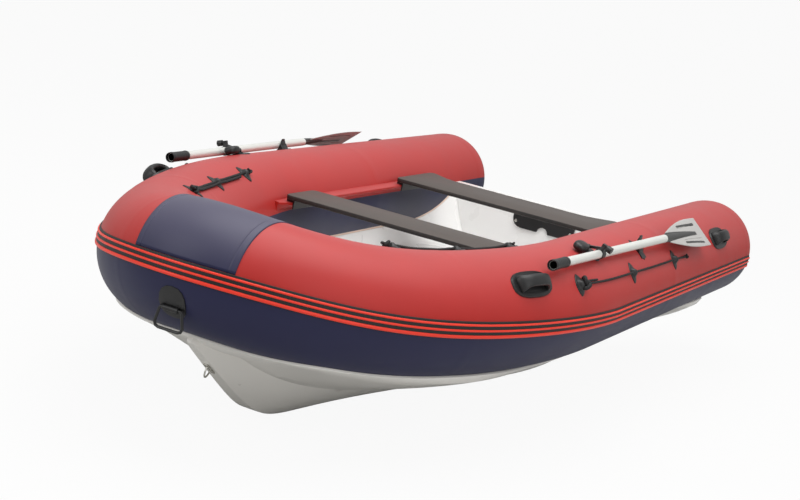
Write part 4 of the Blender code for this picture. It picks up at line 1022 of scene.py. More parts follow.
@dataclass
class BowPatch:
    """The navy doubler over the bow, with a tape along each side edge."""

    half_width: float = 0.182
    low: float = 2.9
    high: float = 166.0
    thickness: float = 0.0016
    tape: float = 0.020
    tape_over: float = 0.004
    tape_rise: float = 0.0004

    def build(self) -> None:
        """Makes the patch and its tapes."""
        self.strip("bow_doubler", -self.half_width, self.half_width, self.thickness, 61, "bow_patch")
        for side in Side:
            edge = side.value * (self.half_width + self.tape_over)
            inner = side.value * (self.half_width - self.tape)
            self.strip(f"doubler_tape_{side.word}", min(edge, inner), max(edge, inner),
                       self.thickness + self.tape_rise, 5)

    def strip(self, name: str, start: float, end: float, height: float, steps: int, *nodes: str) -> None:
        """A sheet over the bow between two values of Y.

        Args:
            name: the piece's name.
            start: its lower Y.
            end: its higher Y.
            height: its outer face above the tube.
            steps: rows across it.
            nodes: the CAD nodes it stands for.
        """
        angle = np.linspace(self.low, self.high, 57)
        t = np.linspace(1.5, 2.5, 241)
        table = LINE.surface(t[:, None], angle[None, :], 0 * t[:, None] + 0 * angle)[..., 1]
        wanted = np.linspace(end, start, steps)
        place = np.stack([np.interp(-wanted, -table[:, index], t) for index in range(len(angle))], axis=1)
        outer = LINE.surface(place, angle[None, :] + 0 * place, np.full(place.shape, height))
        uv = flat_map(wanted, np.radians(angle) * LINE.radius)
        sheet = paint(grid_object(name, outer, uv), NAVY_FABRIC)
        face_along(sheet, 2, 1)
        thicken(sheet, height + self.tape_rise, -1.0)
        dress(sheet, "boat", "navy_fabric", *nodes)


@dataclass
class HullShell:
    """The moulded hull: flange, band, topsides, a chine with a small step, bottom and keel."""

    thickness: float = 0.008
    start_x: float = 0.285
    flange: tuple[float, float] = (-60.0, -54.0)
    tuck: float = -20.0
    tuck_span: tuple[float, float] = (0.62, 0.90)
    band_turn: float = 8.0
    band_stand: tuple[float, float] = (0.022, 0.002)
    stand_span: tuple[float, float] = (0.25, 0.65)
    chine_half: float = 0.550
    chine_depth: float = 0.340
    entry_length: float = 1.440
    entry_power: float = 1.3
    chine_rise: float = 0.309
    rise_length: float = 0.900
    rise_power: float = 3.53
    below_band: float = 0.30
    chine_step: float = 0.010
    sole_half: float = 0.045
    stem_slope: float = 0.74
    stem_round: float = 0.120
    stem_start: float = 2.880
    stem_flat: float = 0.006
    stem_reach: float = 0.050
    under_tube: tuple[float, float] = (-12.0, 0.007)
    under_start: tuple[float, float] = (0.22, 0.36)
    under_end: tuple[float, float] = (1.05, 1.40)
    topside_swell: float = 0.012
    bottom_swell: float = 0.006
    rim_round: float = 0.0015

    def build(self) -> None:
        """Lofts the half sections, mirrors them across the keel and gives the sheet its wall."""
        first = float(LINE.t_at(np.array(self.start_x)))
        t = np.concatenate([np.linspace(first, 1, 22), tip_places(70)])
        hull = paint(grid_object("hull", whole(self.section(t)), sharp=28), HULL_GEL)
        face_along(hull, 2, -1)
        thicken(hull, self.thickness, 1.0, even=False)
        rounded(hull, self.rim_round, 2, 60)
        dress(hull, "boat", "hull_gelcoat", "hull_shell")

    def keel(self, x: np.ndarray) -> np.ndarray:
        """The keel's height: flat, then a hyperbola that turns up into the stem.

        Args:
            x: places forward of the stern.

        Returns:
            Heights above the tubes' centrelines.
        """
        ahead = x - self.stem_start
        rise = self.stem_slope / 2 * (ahead + np.hypot(ahead, self.stem_round)) - self.stem_flat
        return -LINE.keel_depth + np.clip(rise, 0, None)

    def chine(self, band: np.ndarray, keel_x: np.ndarray, keel_z: np.ndarray) -> np.ndarray:
        """The chine: level and straight from the stern, then power curves in and up to the stem.

        Args:
            band: the lower edge of the flange's band at each station.
            keel_x: how far forward the keel is there.
            keel_z: how high the keel's inner face is there.

        Returns:
            Stations by 3.
        """
        x = (band[:, 0] + keel_x) / 2
        behind = LINE.tip_x + self.stem_reach - x
        entry = self.chine_half * (1 - np.clip(1 - behind / self.entry_length, 0, 1) ** self.entry_power)
        stern_band = LINE.spacing / 2 + (LINE.radius + self.band_stand[0]) * math.cos(
            math.radians(self.flange[0] - self.band_turn))
        y = np.minimum(entry, band[:, 1] * self.chine_half / stern_band)
        rising = self.chine_rise * np.clip(1 - behind / self.rise_length, 0, None) ** self.rise_power
        highest = band[:, 2] + (keel_z - band[:, 2]) * self.below_band
        return np.stack([x, y, np.minimum(rising - self.chine_depth, highest)], axis=1)

    def section(self, t: np.ndarray) -> np.ndarray:
        """Half sections of the hull's inner face, from the flange to the keel.

        Args:
            t: places along the port tube.

        Returns:
            Stations by points by 3.
        """
        middle, outboard, _, twist = LINE.axes(t)
        origin = at(0, 0, 0)
        share = np.clip(t - 1, 0, None)
        tip = self.flange[0] + (self.flange[1] - self.flange[0]) * share - twist
        tip = tip + self.tuck * smooth_step(share, *self.tuck_span)
        stern_stand, bow_stand = self.band_stand
        stand = stern_stand + (bow_stand - stern_stand) * smooth_step(share, *self.stand_span)
        band = LINE.surface(t, tip - self.band_turn, stand) - origin
        keel_x = middle[:, 0] + self.stem_reach * outboard[:, 0]
        keel_z = self.keel(keel_x) + self.thickness
        chine = self.chine(band, keel_x, keel_z)
        under = smooth_step(t, *self.under_start) * (1 - smooth_step(t, *self.under_end))
        further, under_stand = self.under_tube
        tip, stand = tip + further * under, stand + (under_stand - stand) * under
        flange = LINE.surface(t, tip, SHEET_GAP + 0 * t) - origin
        band = LINE.surface(t, tip - self.band_turn, stand) - origin
        stem_start = self.stem_start - 2 * self.stem_round
        taper = np.clip((keel_x - stem_start) / (LINE.tip_x + self.stem_reach - stem_start), 0, None)
        sole = np.minimum(self.sole_half * (1 - 0.75 * taper), chine[:, 1])
        edge = np.stack([keel_x, sole, keel_z], axis=1)
        keel = np.stack([keel_x, 0 * keel_x, keel_z], axis=1)
        closing = np.clip(chine[:, 1] / self.chine_half, 0, 1)[:, None]
        step = chine - np.array([0, self.chine_step, -0.2 * self.chine_step]) * closing
        topsides = self.panel(band, chine, 7, self.topside_swell * closing)
        bottom = self.panel(step, edge, 10, self.bottom_swell * closing)
        fillet = flange * 0.4 + band * 0.6
        return half_sections(t, [flange[:, None], fillet[:, None], topsides, bottom, keel[:, None]])

    @staticmethod
    def panel(start: np.ndarray, end: np.ndarray, steps: int, swell: np.ndarray) -> np.ndarray:
        """A panel between two lines, which bows out by a parabola of the given swell.

        Args:
            start: its upper line, stations by 3.
            end: its lower line.
            steps: points across it.
            swell: how far it bows out at each station.

        Returns:
            Stations by points by 3.
        """
        share = np.linspace(0, 1, steps)[None, :, None]
        flat = start[:, None] * (1 - share) + end[:, None] * share
        bow = 4 * share * (1 - share) * swell[:, None]
        return flat + bow * PANEL_WAY


@dataclass
class DeckLiner:
    """The white inner moulding: below the tubes, up to its lip, down a rounded side, over the floor."""

    thickness: float = 0.006
    outer: float = -100.0
    lip: float = -142.0
    stern: float = -182.0
    sweep_start: float = 0.720
    sweep_end: float = 0.345
    sweep_power: float = 0.55
    start_x: float = 0.3253
    floor: float = 0.220
    side_slope: float = 0.035
    stern_slope: float = 0.085
    lip_reach: float = 0.04
    side_reach: float = 0.7
    side_low: float = 0.7
    corner_reach: float = 1.25
    corner_floor: float = 0.9
    corner_cuts: int = 3
    tape_over: float = 0.6
    tape_turn: float = 4.5
    tape_stand: float = 0.0012
    tape_fall: float = 0.0008
    tape_thickness: float = 0.0014

    def build(self) -> None:
        """Makes the moulding and the bonding tape along its lip."""
        first = float(LINE.t_at(np.array(self.start_x)))
        swept = np.linspace(first, float(LINE.t_at(np.array(0.75))), 40)
        t = np.unique(np.concatenate([swept, np.linspace(0.4, 1, 20), tip_places(60)]))
        liner = grid_object("liner", whole(self.section(t)), merge=1e-5, sharp=50)
        face_along(paint(liner, LINER_GEL), 2, 1)
        thicken(liner, self.thickness, -1.0, even=False)
        dress(liner, "boat", "liner_gelcoat", "deck_liner")
        both(lambda side: self.tape(t[t < 1.97], side))

    def lips(self, t: np.ndarray) -> np.ndarray:
        """The lip's angle: level, then a sweep up the tube to the stern board.

        Args:
            t: places along the port tube.

        Returns:
            Degrees round the tube.
        """
        x = LINE.centre(t)[:, 0]
        share = np.clip((self.sweep_start - x) / (self.sweep_start - self.sweep_end), 0, 1)
        return self.lip + (self.stern - self.lip) * share ** (1 / self.sweep_power)

    def section(self, t: np.ndarray) -> np.ndarray:
        """Half sections of the upper face, its corners rounded by cutting them again and again.

        Args:
            t: places along the port tube.

        Returns:
            Stations by points by 3.
        """
        outboard = LINE.axes(t)[1]
        lip = self.lips(t)
        share = np.linspace(0, 1, 9)[None, :]
        angle = self.outer * (1 - share) + lip[:, None] * share
        under = LINE.surface(t[:, None], angle, SHEET_GAP + 0 * angle) - at(0, 0, 0)
        top = under[:, -1]
        room = top[:, 1] / np.maximum(outboard[:, 1], 1e-3)
        sweep = (lip - self.lip) / (self.stern - self.lip)
        slope = self.side_slope + (self.stern_slope - self.side_slope) * sweep
        slope = np.minimum(slope, room / 2)[:, None]
        side = top - outboard * slope * self.side_reach
        side[:, 2] = top[:, 2] * (1 - self.side_low) - self.floor * self.side_low
        edge = top - outboard * slope * self.corner_reach
        edge[:, 2] = -self.floor
        inner = edge * np.array([1, self.corner_floor, 1])
        middle = edge * np.array([1, 0, 1])
        turn = np.stack([top - outboard * slope * self.lip_reach, side, edge, inner], axis=1)
        for _ in range(self.corner_cuts):
            quarter = turn[:, :-1] * 0.75 + turn[:, 1:] * 0.25
            far = turn[:, :-1] * 0.25 + turn[:, 1:] * 0.75
            cut = np.stack([quarter, far], axis=2).reshape(len(t), -1, 3)
            turn = np.concatenate([turn[:, :1], cut, turn[:, -1:]], axis=1)
        return half_sections(t, [under, turn, middle[:, None]])

    def tape(self, t: np.ndarray, side: Side) -> None:
        """The cream bonding tape that covers the lip, lying on the tube.

        Args:
            t: places along the port tube.
            side: port or starboard.
        """
        share = np.linspace(0, 1, 5)[None, :]
        angle = self.lips(t)[:, None] + self.tape_over - self.tape_turn * share
        height = self.tape_stand - self.tape_fall * np.abs(2 * share - 1) + 0 * angle
        points = LINE.surface(t[:, None], angle, height) * side.mirror
        tape = paint(grid_object(f"bonding_tape_{side.word}", points), BOND_TAPE)
        face_along(tape, 1, -side.value)
        thicken(tape, self.tape_thickness, -1.0)
        dress(tape, "boat", "liner_gelcoat")


# Small fittings taken over from the solids


SOFT_EDGE = 38.0
FLAT_TURN = 4.0


def rounded(item: bpy.types.Object, width: float, segments: int, over: float) -> None:
    """Rounds the edges whose faces turn by more than an angle in degrees.

    Args:
        item: the object.
        width: the width of the rounding.
        segments: its steps.
        over: the angle.
    """
    edge = item.modifiers.new("edge", "BEVEL")
    edge.width = width
    edge.segments = segments
    edge.limit_method = "ANGLE"
    edge.angle_limit = math.radians(over)


def softened(name: str, node: str, frame: dict, width: float) -> bpy.types.Object:
    """A copy of a CAD node with its triangles merged into flats and its edges rounded.

    Args:
        name: the new piece's name.
        node: the node to copy.
        width: the width of the rounding.

    Returns:
        The piece.
    """
    work = bmesh.new()
    work.from_mesh(frame["nodes"][node].data)
    bmesh.ops.remove_doubles(work, verts=work.verts, dist=1e-5)
    flat = math.radians(FLAT_TURN)
    bmesh.ops.dissolve_limit(work, angle_limit=flat, verts=work.verts, edges=work.edges)
    mesh = bpy.data.meshes.new(name)
    work.to_mesh(mesh)
    work.free()
    mesh.shade_smooth()
    mesh.set_sharp_from_angle(angle=math.radians(SOFT_EDGE))
    made = added(name, mesh)
    rounded(made, width, 2, SOFT_EDGE)
    return made


def taken_over(name: str, node: str, frame: dict, width: float, finish: Finish, body: str,
               slot: str) -> None:
    """Dresses a softened copy of one CAD node.

    Args:
        name: the new piece's name.
        node: the node that it stands for.
        width: the width of its edges' rounding.
        finish: its surface.
        body: the body that it rides on.
        slot: the record's material slot.
    """
    dress(paint(softened(name, node, frame, width), finish), body, slot, node)


def swollen(item: bpy.types.Object, growth: float) -> None:
    """Moves every corner out along its normal.

    Args:
        item: the object.
        growth: how far, in metres.
    """
    count = len(item.data.vertices)
    place, normal = np.zeros(count * 3), np.zeros(count * 3)
    item.data.vertices.foreach_get("co", place)
    item.data.vertices.foreach_get("normal", normal)
    item.data.vertices.foreach_set("co", place + growth * normal)
    item.data.update()


@dataclass
class SternBoard:
    """The stern board with a motor pad on each face, the inner one held by two screws."""

    frame: dict
    screw_size: tuple[float, float] = (0.0070, 0.0035)
    screw_sunk: float = -0.0008
    screw_place: tuple[float, float, float] = (0.140, 0.455, -1.3599)

    def build(self) -> None:
        """Rounds the board and its pads."""
        taken_over("stern_board", "transom", self.frame, 0.004, LINER_GEL, "boat", "liner_gelcoat")
        for word in ("inner", "outer"):
            taken_over(f"motor_plate_{word}", f"motor_pad_{word}", self.frame, 0.0022, NYLON, "boat",
                       "black_plastic")
        both(self.screw)

    def screw(self, side: Side) -> None:
        """A domed screw head near one end of the inner motor pad, sunk a little into it.

        Args:
            side: port or starboard.
        """
        radius, rise = self.screw_size
        share = np.linspace(1, 0, 7)
        dome = np.stack([radius * share, rise * np.sqrt(1.0 - 0.75 * share ** 2)], axis=1)
        local = turned(np.vstack([[(0.0, self.screw_sunk), (radius, self.screw_sunk)], dome]), 24)
        across, up, face = self.screw_place
        rows = [face + local[..., 2], side.value * across + local[..., 0], up + local[..., 1]]
        head = grid_object(f"pad_screw_{side.word}", np.stack(rows, axis=-1))
        dress(paint(head, STEEL), "boat", "stainless")


@dataclass
class Seats:
    """Two planks on end brackets, their side faces painted darker as painted shade, and the fabric rails that
    they slide on.
    """

    frame: dict
    rail_aft: float = 0.600
    rail_front: float = 2.100
    rail_top: float = 156.0
    rail_low: float = 166.5
    rail_depth: float = 0.050
    rail_lip: float = 0.012
    rail_nose: float = 0.060
    rail_end: float = 0.3
    rail_round: float = 0.003
    rail_gap: float = 0.0002
    rail_face: tuple[tuple[float, float], ...] = ((1.0, 0.0), (0.85, -0.6), (0.2, -0.6), (0.0, 0.4))

    def build(self) -> None:
        """Makes both planks, their brackets and both rails."""
        for word in ("front", "aft"):
            body = f"{word}_seat"
            plank = paint(softened(f"{word}_plank", body, self.frame, 0.001), PLANK, PLANK_SIDE_PAINTED_SHADE)
            # Faces that look neither up nor down take the darker copy: painted shade on the plank's sides.
            paint_faces(plank, np.abs(face_normals(plank)[:, 2]) < 0.6, 1)
            dress(plank, body, "seat_board", body)
            for side in Side:
                taken_over(f"{word}_plank_foot_{side.word}", f"{body}_bracket_{side.word}", self.frame,
                           0.0015, NYLON, body, "black_plastic")
        both(self.rail)

    def rail(self, side: Side) -> None:
        """A ledge glued to the tube: its top level, its nose blunt, its front end stepped down.

        Args:
            side: port or starboard.
        """
        x = np.unique(np.concatenate([np.linspace(self.rail_aft, self.rail_front, 60),
                                      np.linspace(self.rail_front - self.rail_nose, self.rail_front, 12)]))
        t = LINE.t_at(x)
        outboard = LINE.axes(t)[1]
        share = np.linspace(0, 1, 5)[None, :]
        angle = self.rail_top + (self.rail_low - self.rail_top) * share
        seat = LINE.surface(t[:, None], angle, self.rail_gap + 0 * angle, False)
        ahead = self.rail_front - x
        full = self.rail_end + (1 - self.rail_end) * np.clip(ahead / self.rail_nose, 0, 1)
        nose = seat[:, 0] - outboard * (self.rail_depth * full)[:, None]
        nose[:, 2] = seat[:, 0, 2]
        drop = np.array([0, 0, self.rail_lip])
        inward = outboard * self.rail_round
        front = np.stack([nose - drop * down + inward * back for down, back in self.rail_face], axis=1)
        ring = np.concatenate([seat, front, seat[:, :1]], axis=1) * side.mirror
        uv = flat_map(np.concatenate([x[:1], x, x[-1:]]), np.linspace(0, 0.2, ring.shape[1]))
        rail = paint(grid_object(f"rail_{side.word}", capped(ring), uv), RED_FABRIC)
        dress(rail, "boat", "red_fabric", f"seat_rail_{side.word}")


def superellipse(turn: np.ndarray, power: float) -> tuple[np.ndarray, np.ndarray]:
    """Cosine and sine drawn towards 1, for an oval with squarer corners where the power is over 2."""
    cosine, sine = np.cos(turn), np.sin(turn)
    return (np.sign(cosine) * np.abs(cosine) ** (2 / power), np.sign(sine) * np.abs(sine) ** (2 / power))


def pad_points(half_width: float, half_length: float, power: float,
               height: Callable[[np.ndarray, np.ndarray, np.ndarray], np.ndarray], rings: int = 22,
               spokes: int = 64, sunk: float = -0.0015) -> np.ndarray:
    """An oval pad as rings from its middle to its rim and back below.

    Args:
        half_width: its reach round the tube.
        half_length: its reach along the tube.
        power: the oval's squareness.
        height: gives the top from the share of the radius and the two places.
        rings: rings on its top.
        spokes: points round each ring.
        sunk: how high its underside lies.

    Returns:
        Rings by spokes by 3: round, along, out.
    """
    share = np.linspace(0, 1, rings)[:, None]
    turn = np.linspace(0, 2 * math.pi, spokes + 1)[None, :]
    across, along = superellipse(turn, power)
    u, v = half_width * share * across, half_length * share * along
    top = np.stack([u, v, height(share + 0 * turn, u, v)], axis=2)
    rim = top[-1:].copy()
    rim[..., 2] = sunk
    middle = np.zeros_like(rim)
    middle[..., 2] = sunk
    return np.concatenate([top, rim, middle])


def rubber_pad(name: str, points: np.ndarray, x: float, angle: float, side: Side, *nodes: str) -> None:
    """Lays a pad of moulded rubber on a tube.

    Args:
        name: the piece's name.
        points: the pad, laid flat.
        x: its middle, forward of the stern.
        angle: its middle round the tube.
        side: port or starboard.
        nodes: the CAD nodes it stands for.
    """
    pad = paint(grid_object(name, LINE.wrap(points, x, angle, side)), BLACK_RUBBER)
    dress(pad, "boat", "black_rubber", *nodes)


LEAF_SQUARE = 1.55


@dataclass
class CarryHandle:
    """A moulded rubber handle: an oval base with a bead, and a broad grip arched over the fingers."""

    name: str
    x: float
    angle: float
    half_width: float = 0.050
    half_length: float = 0.105
    base: float = 0.0055
    square: float = 2.6
    bead: float = 0.0025
    dish: float = 0.0022
    grip_half: float = 0.068
    grip_rise: float = 0.0365
    grip_square: float = 2.7
    grip_width: float = 0.019
    grip_thickness: float = 0.0115
    grip_oval: float = 2.5
    grip_flare: float = 0.55
    grip_ridge: float = 0.10

    def height(self, share: np.ndarray, _u: np.ndarray, _v: np.ndarray) -> np.ndarray:
        """The base's top: a shallow dish inside a bead near the rim.

        Args:
            share: the share of the way to the rim.
            _u: the place round the tube, which isn't used.
            _v: the place along the tube, which isn't used.

        Returns:
            Heights above the tube.
        """
        bead = self.bead * np.exp(-((share - 0.93) / 0.035) ** 2)
        dish = self.dish * (1 - smooth_step(share, 0.55, 0.85))
        return self.base * (1 - smooth_step(share, 0.965, 1.02)) + bead - dish

    def build(self, side: Side) -> None:
        """Makes the handle.

        Args:
            side: port or starboard.
        """
        base = pad_points(self.half_width, self.half_length, self.square, self.height)
        turn = np.radians(np.linspace(-20, 200, 61))
        across, rise = superellipse(turn, self.grip_square)
        path = np.stack([0 * turn, self.grip_half * across, self.grip_rise * rise], axis=1)
        spread = 1 + self.grip_flare * np.abs(across) ** 6
        around = np.linspace(0, 2 * math.pi, 33)
        wide, tall = superellipse(around, self.grip_oval)
        ridge = 1 + self.grip_ridge * np.cos(3 * around)
        thick = self.grip_thickness * (tall * ridge)[None, :] * (0.9 + 0.1 * spread[:, None])
        profile = np.stack([self.grip_width * spread[:, None] * wide, thick], axis=2)
        grip = capped(sweep(path, np.array([0.0, 0.0, 1.0]) + 1e-6, profile))
        pieces = [grid_object(f"part_{index}", LINE.wrap(part, self.x, self.angle, side))
                  for index, part in enumerate((base, grip))]
        handle = joined(f"{self.name}_{side.word}_moulding", [paint(piece, BLACK_RUBBER) for piece in pieces])
        dress(handle, "boat", "black_rubber", f"{self.name}_{side.word}")


@dataclass
class Eyelet:
    """A leaf of moulded rubber with a hump that the rope runs through."""

    half_width: float = 0.043
    half_length: float = 0.026
    base: float = 0.0035
    hump: float = 0.0150
    hump_width: float = 0.0150
    hump_length: float = 0.0120
    spine: float = 0.0016
    spine_half: float = 0.005

    def height(self, share: np.ndarray, u: np.ndarray, v: np.ndarray) -> np.ndarray:
        """The leaf's top: level, with a square hump and a spine that runs out along it.

        Args:
            share: the share of the way to the rim.
            u: the place round the tube.
            v: the place along the tube.

        Returns:
            Heights above the tube.
        """
        leaf = self.base * (1 - smooth_step(share, 0.9, 1.02))
        swell = np.exp(-np.abs(u / self.hump_width) ** 3 - np.abs(v / self.hump_length) ** 4)
        spine = self.spine * np.exp(-(v / self.spine_half) ** 2) * (1 - share)
        return leaf + self.hump * swell + spine

    def build(self, name: str, x: float, angle: float, side: Side) -> None:
        """Makes one eyelet.

        Args:
            name: the CAD node's name without its side.
            x: its place forward of the stern.
            angle: its place round the tube.
            side: port or starboard.
        """
        points = pad_points(self.half_width, self.half_length, LEAF_SQUARE, self.height, 26, 48)
        rubber_pad(f"{name}_{side.word}_leaf", points, x, angle, side, f"{name}_{side.word}")


@dataclass
class Lifeline:
    """A rope in its eyelets, with a doubled lead, a knot at its forward end and a short tail."""

    name: str
    eyelets: tuple[tuple[float, float], ...]
    lead: tuple[tuple[float, float], ...]
    tail: tuple[tuple[float, float], ...]
    droop: float
    radius: float
    doubled: float
    knot_size: float
    in_eyelet: float = 0.0100
    on_tube: float = 0.0060
    strands: int = 3
    lay: float = 0.026
    step: float = 0.003
    tail_knot: float = 0.8
    twin_turn: float = 1.9
    twin_lift: float = 0.002
    twin_size: float = 0.95

    def spots(self) -> np.ndarray:
        """The rope's own points: X, angle and height, with the droop as a parabola between eyelets.

        Returns:
            Points by 3.
        """
        rows = [(x, angle, self.on_tube) for x, angle in self.lead]
        for (x, angle), (next_x, next_angle) in zip(self.eyelets, self.eyelets[1:]):
            rows.append((x, angle, self.in_eyelet))
            for share in (0.25, 0.5, 0.75):
                sag = self.droop * 4 * share * (1 - share)
                lower = angle + (next_angle - angle) * share - sag
                rows.append((x + (next_x - x) * share, lower, self.on_tube))
        rows.append((*self.eyelets[-1], self.in_eyelet))
        return np.array(rows + [(x, angle, self.on_tube) for x, angle in self.tail])

    def on_boat(self, spots: np.ndarray, side: Side) -> np.ndarray:
        """Puts rows of X, angle and height on the tube."""
        t = LINE.t_at(spots[:, 0])
        return LINE.surface(t, spots[:, 1], spots[:, 2], False) * side.mirror

    def build(self, side: Side) -> None:
        """Makes the rope, its doubled stretches and its knots.

        Args:
            side: port or starboard.
        """
        route = self.on_boat(self.spots(), side)
        path = smooth_curve(route, self.step)
        pieces = [rope_points(path, self.outward(path), self.radius, self.strands, self.lay)]
        if self.doubled:
            last = self.spots()[:len(self.lead) + round(4 * self.doubled)]
            beside = last + np.array([0.0, self.twin_turn * math.degrees(self.radius / LINE.radius), 0.0])
            beside[:, 2] += self.twin_lift
            twin = smooth_curve(self.on_boat(beside, side), self.step)
            pieces.append(rope_points(twin, self.outward(twin), self.radius * self.twin_size,
                                      self.strands, self.lay))
        pieces.append(self.knot(route[0], path[1] - path[0], self.knot_size))
        pieces.append(self.knot(route[-1], path[-1] - path[-2], self.tail_knot))
        made = []
        for index, points in enumerate(pieces):
            piece = grid_object(f"rope_{index}", points, rope_uv(points, self.radius), merge=1e-6, sharp=180)
            made.append(paint(piece, ROPE))
        rope = joined(f"{self.name}_{side.word}_rope", made)
        dress(rope, "boat", "rope", f"{self.name}_{side.word}")

    @staticmethod
    def outward(path: np.ndarray) -> np.ndarray:
        """The way out from the tube's centreline at points on the boat.

        Args:
            path: points in the model's frame.

        Returns:
            Directions of a length of 1.
        """
        t = LINE.t_at(path[:, 0] - LINE.stern_x)
        centre = LINE.centre(t) + at(0, 0, 0)
        centre[:, 1] *= np.sign(path[:, 1])
        return unit(path - centre)

    def knot(self, place: np.ndarray, run: np.ndarray, size: float) -> np.ndarray:
        """An overhand knot, as a trefoil: (sin a + 2 sin 2a, cos a - 2 cos 2a, - sin 3a).

        Args:
            place: the knot's middle.
            run: the rope's direction there.
            size: its size beside the usual one.

        Returns:
            Points of its closed tube.
        """
        turn = np.linspace(0, 2 * math.pi, 97)
        scale = 1.15 * self.radius * size
        shape = np.stack([-np.sin(3 * turn) * 1.3, np.sin(turn) + 2 * np.sin(2 * turn),
                          np.cos(turn) - 2 * np.cos(2 * turn)], axis=1) * scale * np.array([1, 0.62, 0.62])
        along = unit(run)
        out = self.outward(place[None])[0]
        beside = unit(np.cross(along, out))
        out = np.cross(beside, along)
        path = place + shape @ np.stack([along, beside, out]) + out * 0.002
        run_on = unit(np.roll(path[:-1], -1, axis=0) - np.roll(path[:-1], 1, axis=0))
        run_on = np.concatenate([run_on, run_on[:1]])
        side = unit(np.cross(run_on, np.broadcast_to(along + 0.3 * out, run_on.shape)))
        upright = np.cross(side, run_on)
        ring = circle(self.radius * 0.85 * size, 12)
        return path[:, None] + ring[None, :, :1] * side[:, None] + ring[None, :, 1:] * upright[:, None]


OUTER_LINE = Lifeline("outer_lifeline", ((2.175, 35.0), (1.680, 32.0), (1.160, 30.5)), ((2.157, 35.4),),
                      ((1.085, 30.0), (1.010, 29.5)), 0.4, 0.0046, 0.5, 2.1)
INNER_LINE = Lifeline("inner_lifeline", ((2.891, 111.0), (2.564, 118.0), (2.240, 119.0)), ((2.915, 111.0),),
                      ((2.205, 119.0),), -0.8, 0.0060, 2, 1.1)


OAR_ALONG = np.array([0.99904, -0.04365, 0.00398])
OAR_OUT = np.array([0.01045, 0.3254, 0.94552])
OAR_AXES = np.stack([np.cross(OAR_ALONG, OAR_OUT), OAR_ALONG, OAR_OUT])
OAR_COLLAR = np.array([0.25626, 0.8222, 0.71904])
LAID_ALONG = np.array([[1.0, 0, 0], [0, 0, -1.0], [0, 1.0, 0]])


def on_oar(local: np.ndarray, side: Side) -> np.ndarray:
    """Puts points given inboard, along the oar and out, from the middle of its collar, on the boat."""
    return (OAR_COLLAR + local @ OAR_AXES) * side.mirror


@dataclass
class Rowlock:
    """The rowlock's pad, housing and pin, and its cradle, arm and knob taken over from the solids."""

    frame: dict
    x: float = 1.950
    angle: float = 71.0
    pad_half: tuple[float, float] = (0.054, 0.041)
    pad_shift: tuple[float, float] = (-0.008, -0.009)
    pad_base: float = 0.0030
    pad_square: float = 2.2
    post_radius: float = 0.018
    post_edge: tuple[float, float] = (0.001, 0.0015)
    post_height: float = 0.0050
    post_top: tuple[float, float, float] = (0.25364, 0.76223, 0.71824)
    block_half: tuple[float, float, float] = (0.027, 0.038, 0.0165)
    block_place: tuple[float, float, float] = (0.003, 0.056, 0.0205)
    block_square: tuple[float, float] = (3.0, 2.5)
    band_radius: float = 0.0098
    band_places: tuple[float, float, float] = (0.0137, 0.0145, 0.0215)
    barrel_height: float = 0.0175

    def height(self, share: np.ndarray, u: np.ndarray, v: np.ndarray) -> np.ndarray:
        """The pad's top: level, with a low round post under the cradle.

        Args:
            share: the share of the way to the rim.
            u: the place round the tube.
            v: the place along the tube.

        Returns:
            Heights above the tube.
        """
        pad = self.pad_base * (1 - smooth_step(share, 0.93, 1.02))
        away = np.hypot(u + self.pad_shift[0], v + self.pad_shift[1])
        inner, outer = self.post_radius - self.post_edge[0], self.post_radius + self.post_edge[1]
        return pad + (self.post_height - self.pad_base) * (1 - smooth_step(away, inner, outer))

    def build(self, side: Side) -> None:
        """Makes one rowlock.

        Args:
            side: port or starboard.
        """
        shift_u, shift_v = self.pad_shift
        points = pad_points(*self.pad_half, self.pad_square, self.height, 34, 64)
        rubber_pad(f"rowlock_pad_{side.word}", points, self.x + shift_v,
                   self.angle + math.degrees(shift_u / LINE.radius), side, f"rowlock_base_{side.word}")
        self.block(side)
        self.band(side)
        for word, body in (("cradle", "rowlock"), ("arm", "oar"), ("knob", "knob")):
            node = f"rowlock_{word}_{side.word}"
            taken_over(f"{node}_moulding", node, self.frame, 0.0009, NYLON, f"{body}_{side.word}",
                       "black_plastic")

    def placed(self, local: np.ndarray, side: Side) -> np.ndarray:
        """Puts points given inboard, along the oar and out from the post's foot on the boat."""
        return (np.array(self.post_top) + local @ OAR_AXES) * side.mirror

    def block(self, side: Side) -> None:
        """The cradle's housing: half sizes times (cos a cos b, cos a sin b, sin a), each drawn squarer.

        Args:
            side: port or starboard.
        """
        level = np.radians(np.linspace(-90, 90, 25))[:, None]
        round_it = np.linspace(0, 2 * math.pi, 49)[None, :]
        flat, rise = superellipse(level, self.block_square[0])
        across, along = superellipse(round_it, self.block_square[1])
        shape = np.stack([flat * across, flat * along, rise + 0 * round_it], axis=2)
        local = np.array(self.block_place) + shape * np.array(self.block_half)
        block = grid_object(f"rowlock_block_{side.word}", self.placed(local, side), merge=1e-5)
        dress(paint(block, NYLON), f"rowlock_{side.word}", "black_plastic")

    def band(self, side: Side) -> None:
        """The bright end of the hinge pin, between the block and the cradle's ear.

        Args:
            side: port or starboard.
        """
        radius = self.band_radius
        near, edge, far = self.band_places
        profile = [(0.0, near), (radius - 0.001, near), (radius, edge), (radius, far), (0.0, far)]
        local = turned(np.array(profile), 32) @ LAID_ALONG
        local[..., 2] += self.barrel_height
        band = grid_object(f"hinge_pin_{side.word}", self.placed(local, side), sharp=30)
        dress(paint(band, STEEL), f"rowlock_{side.word}", "stainless")


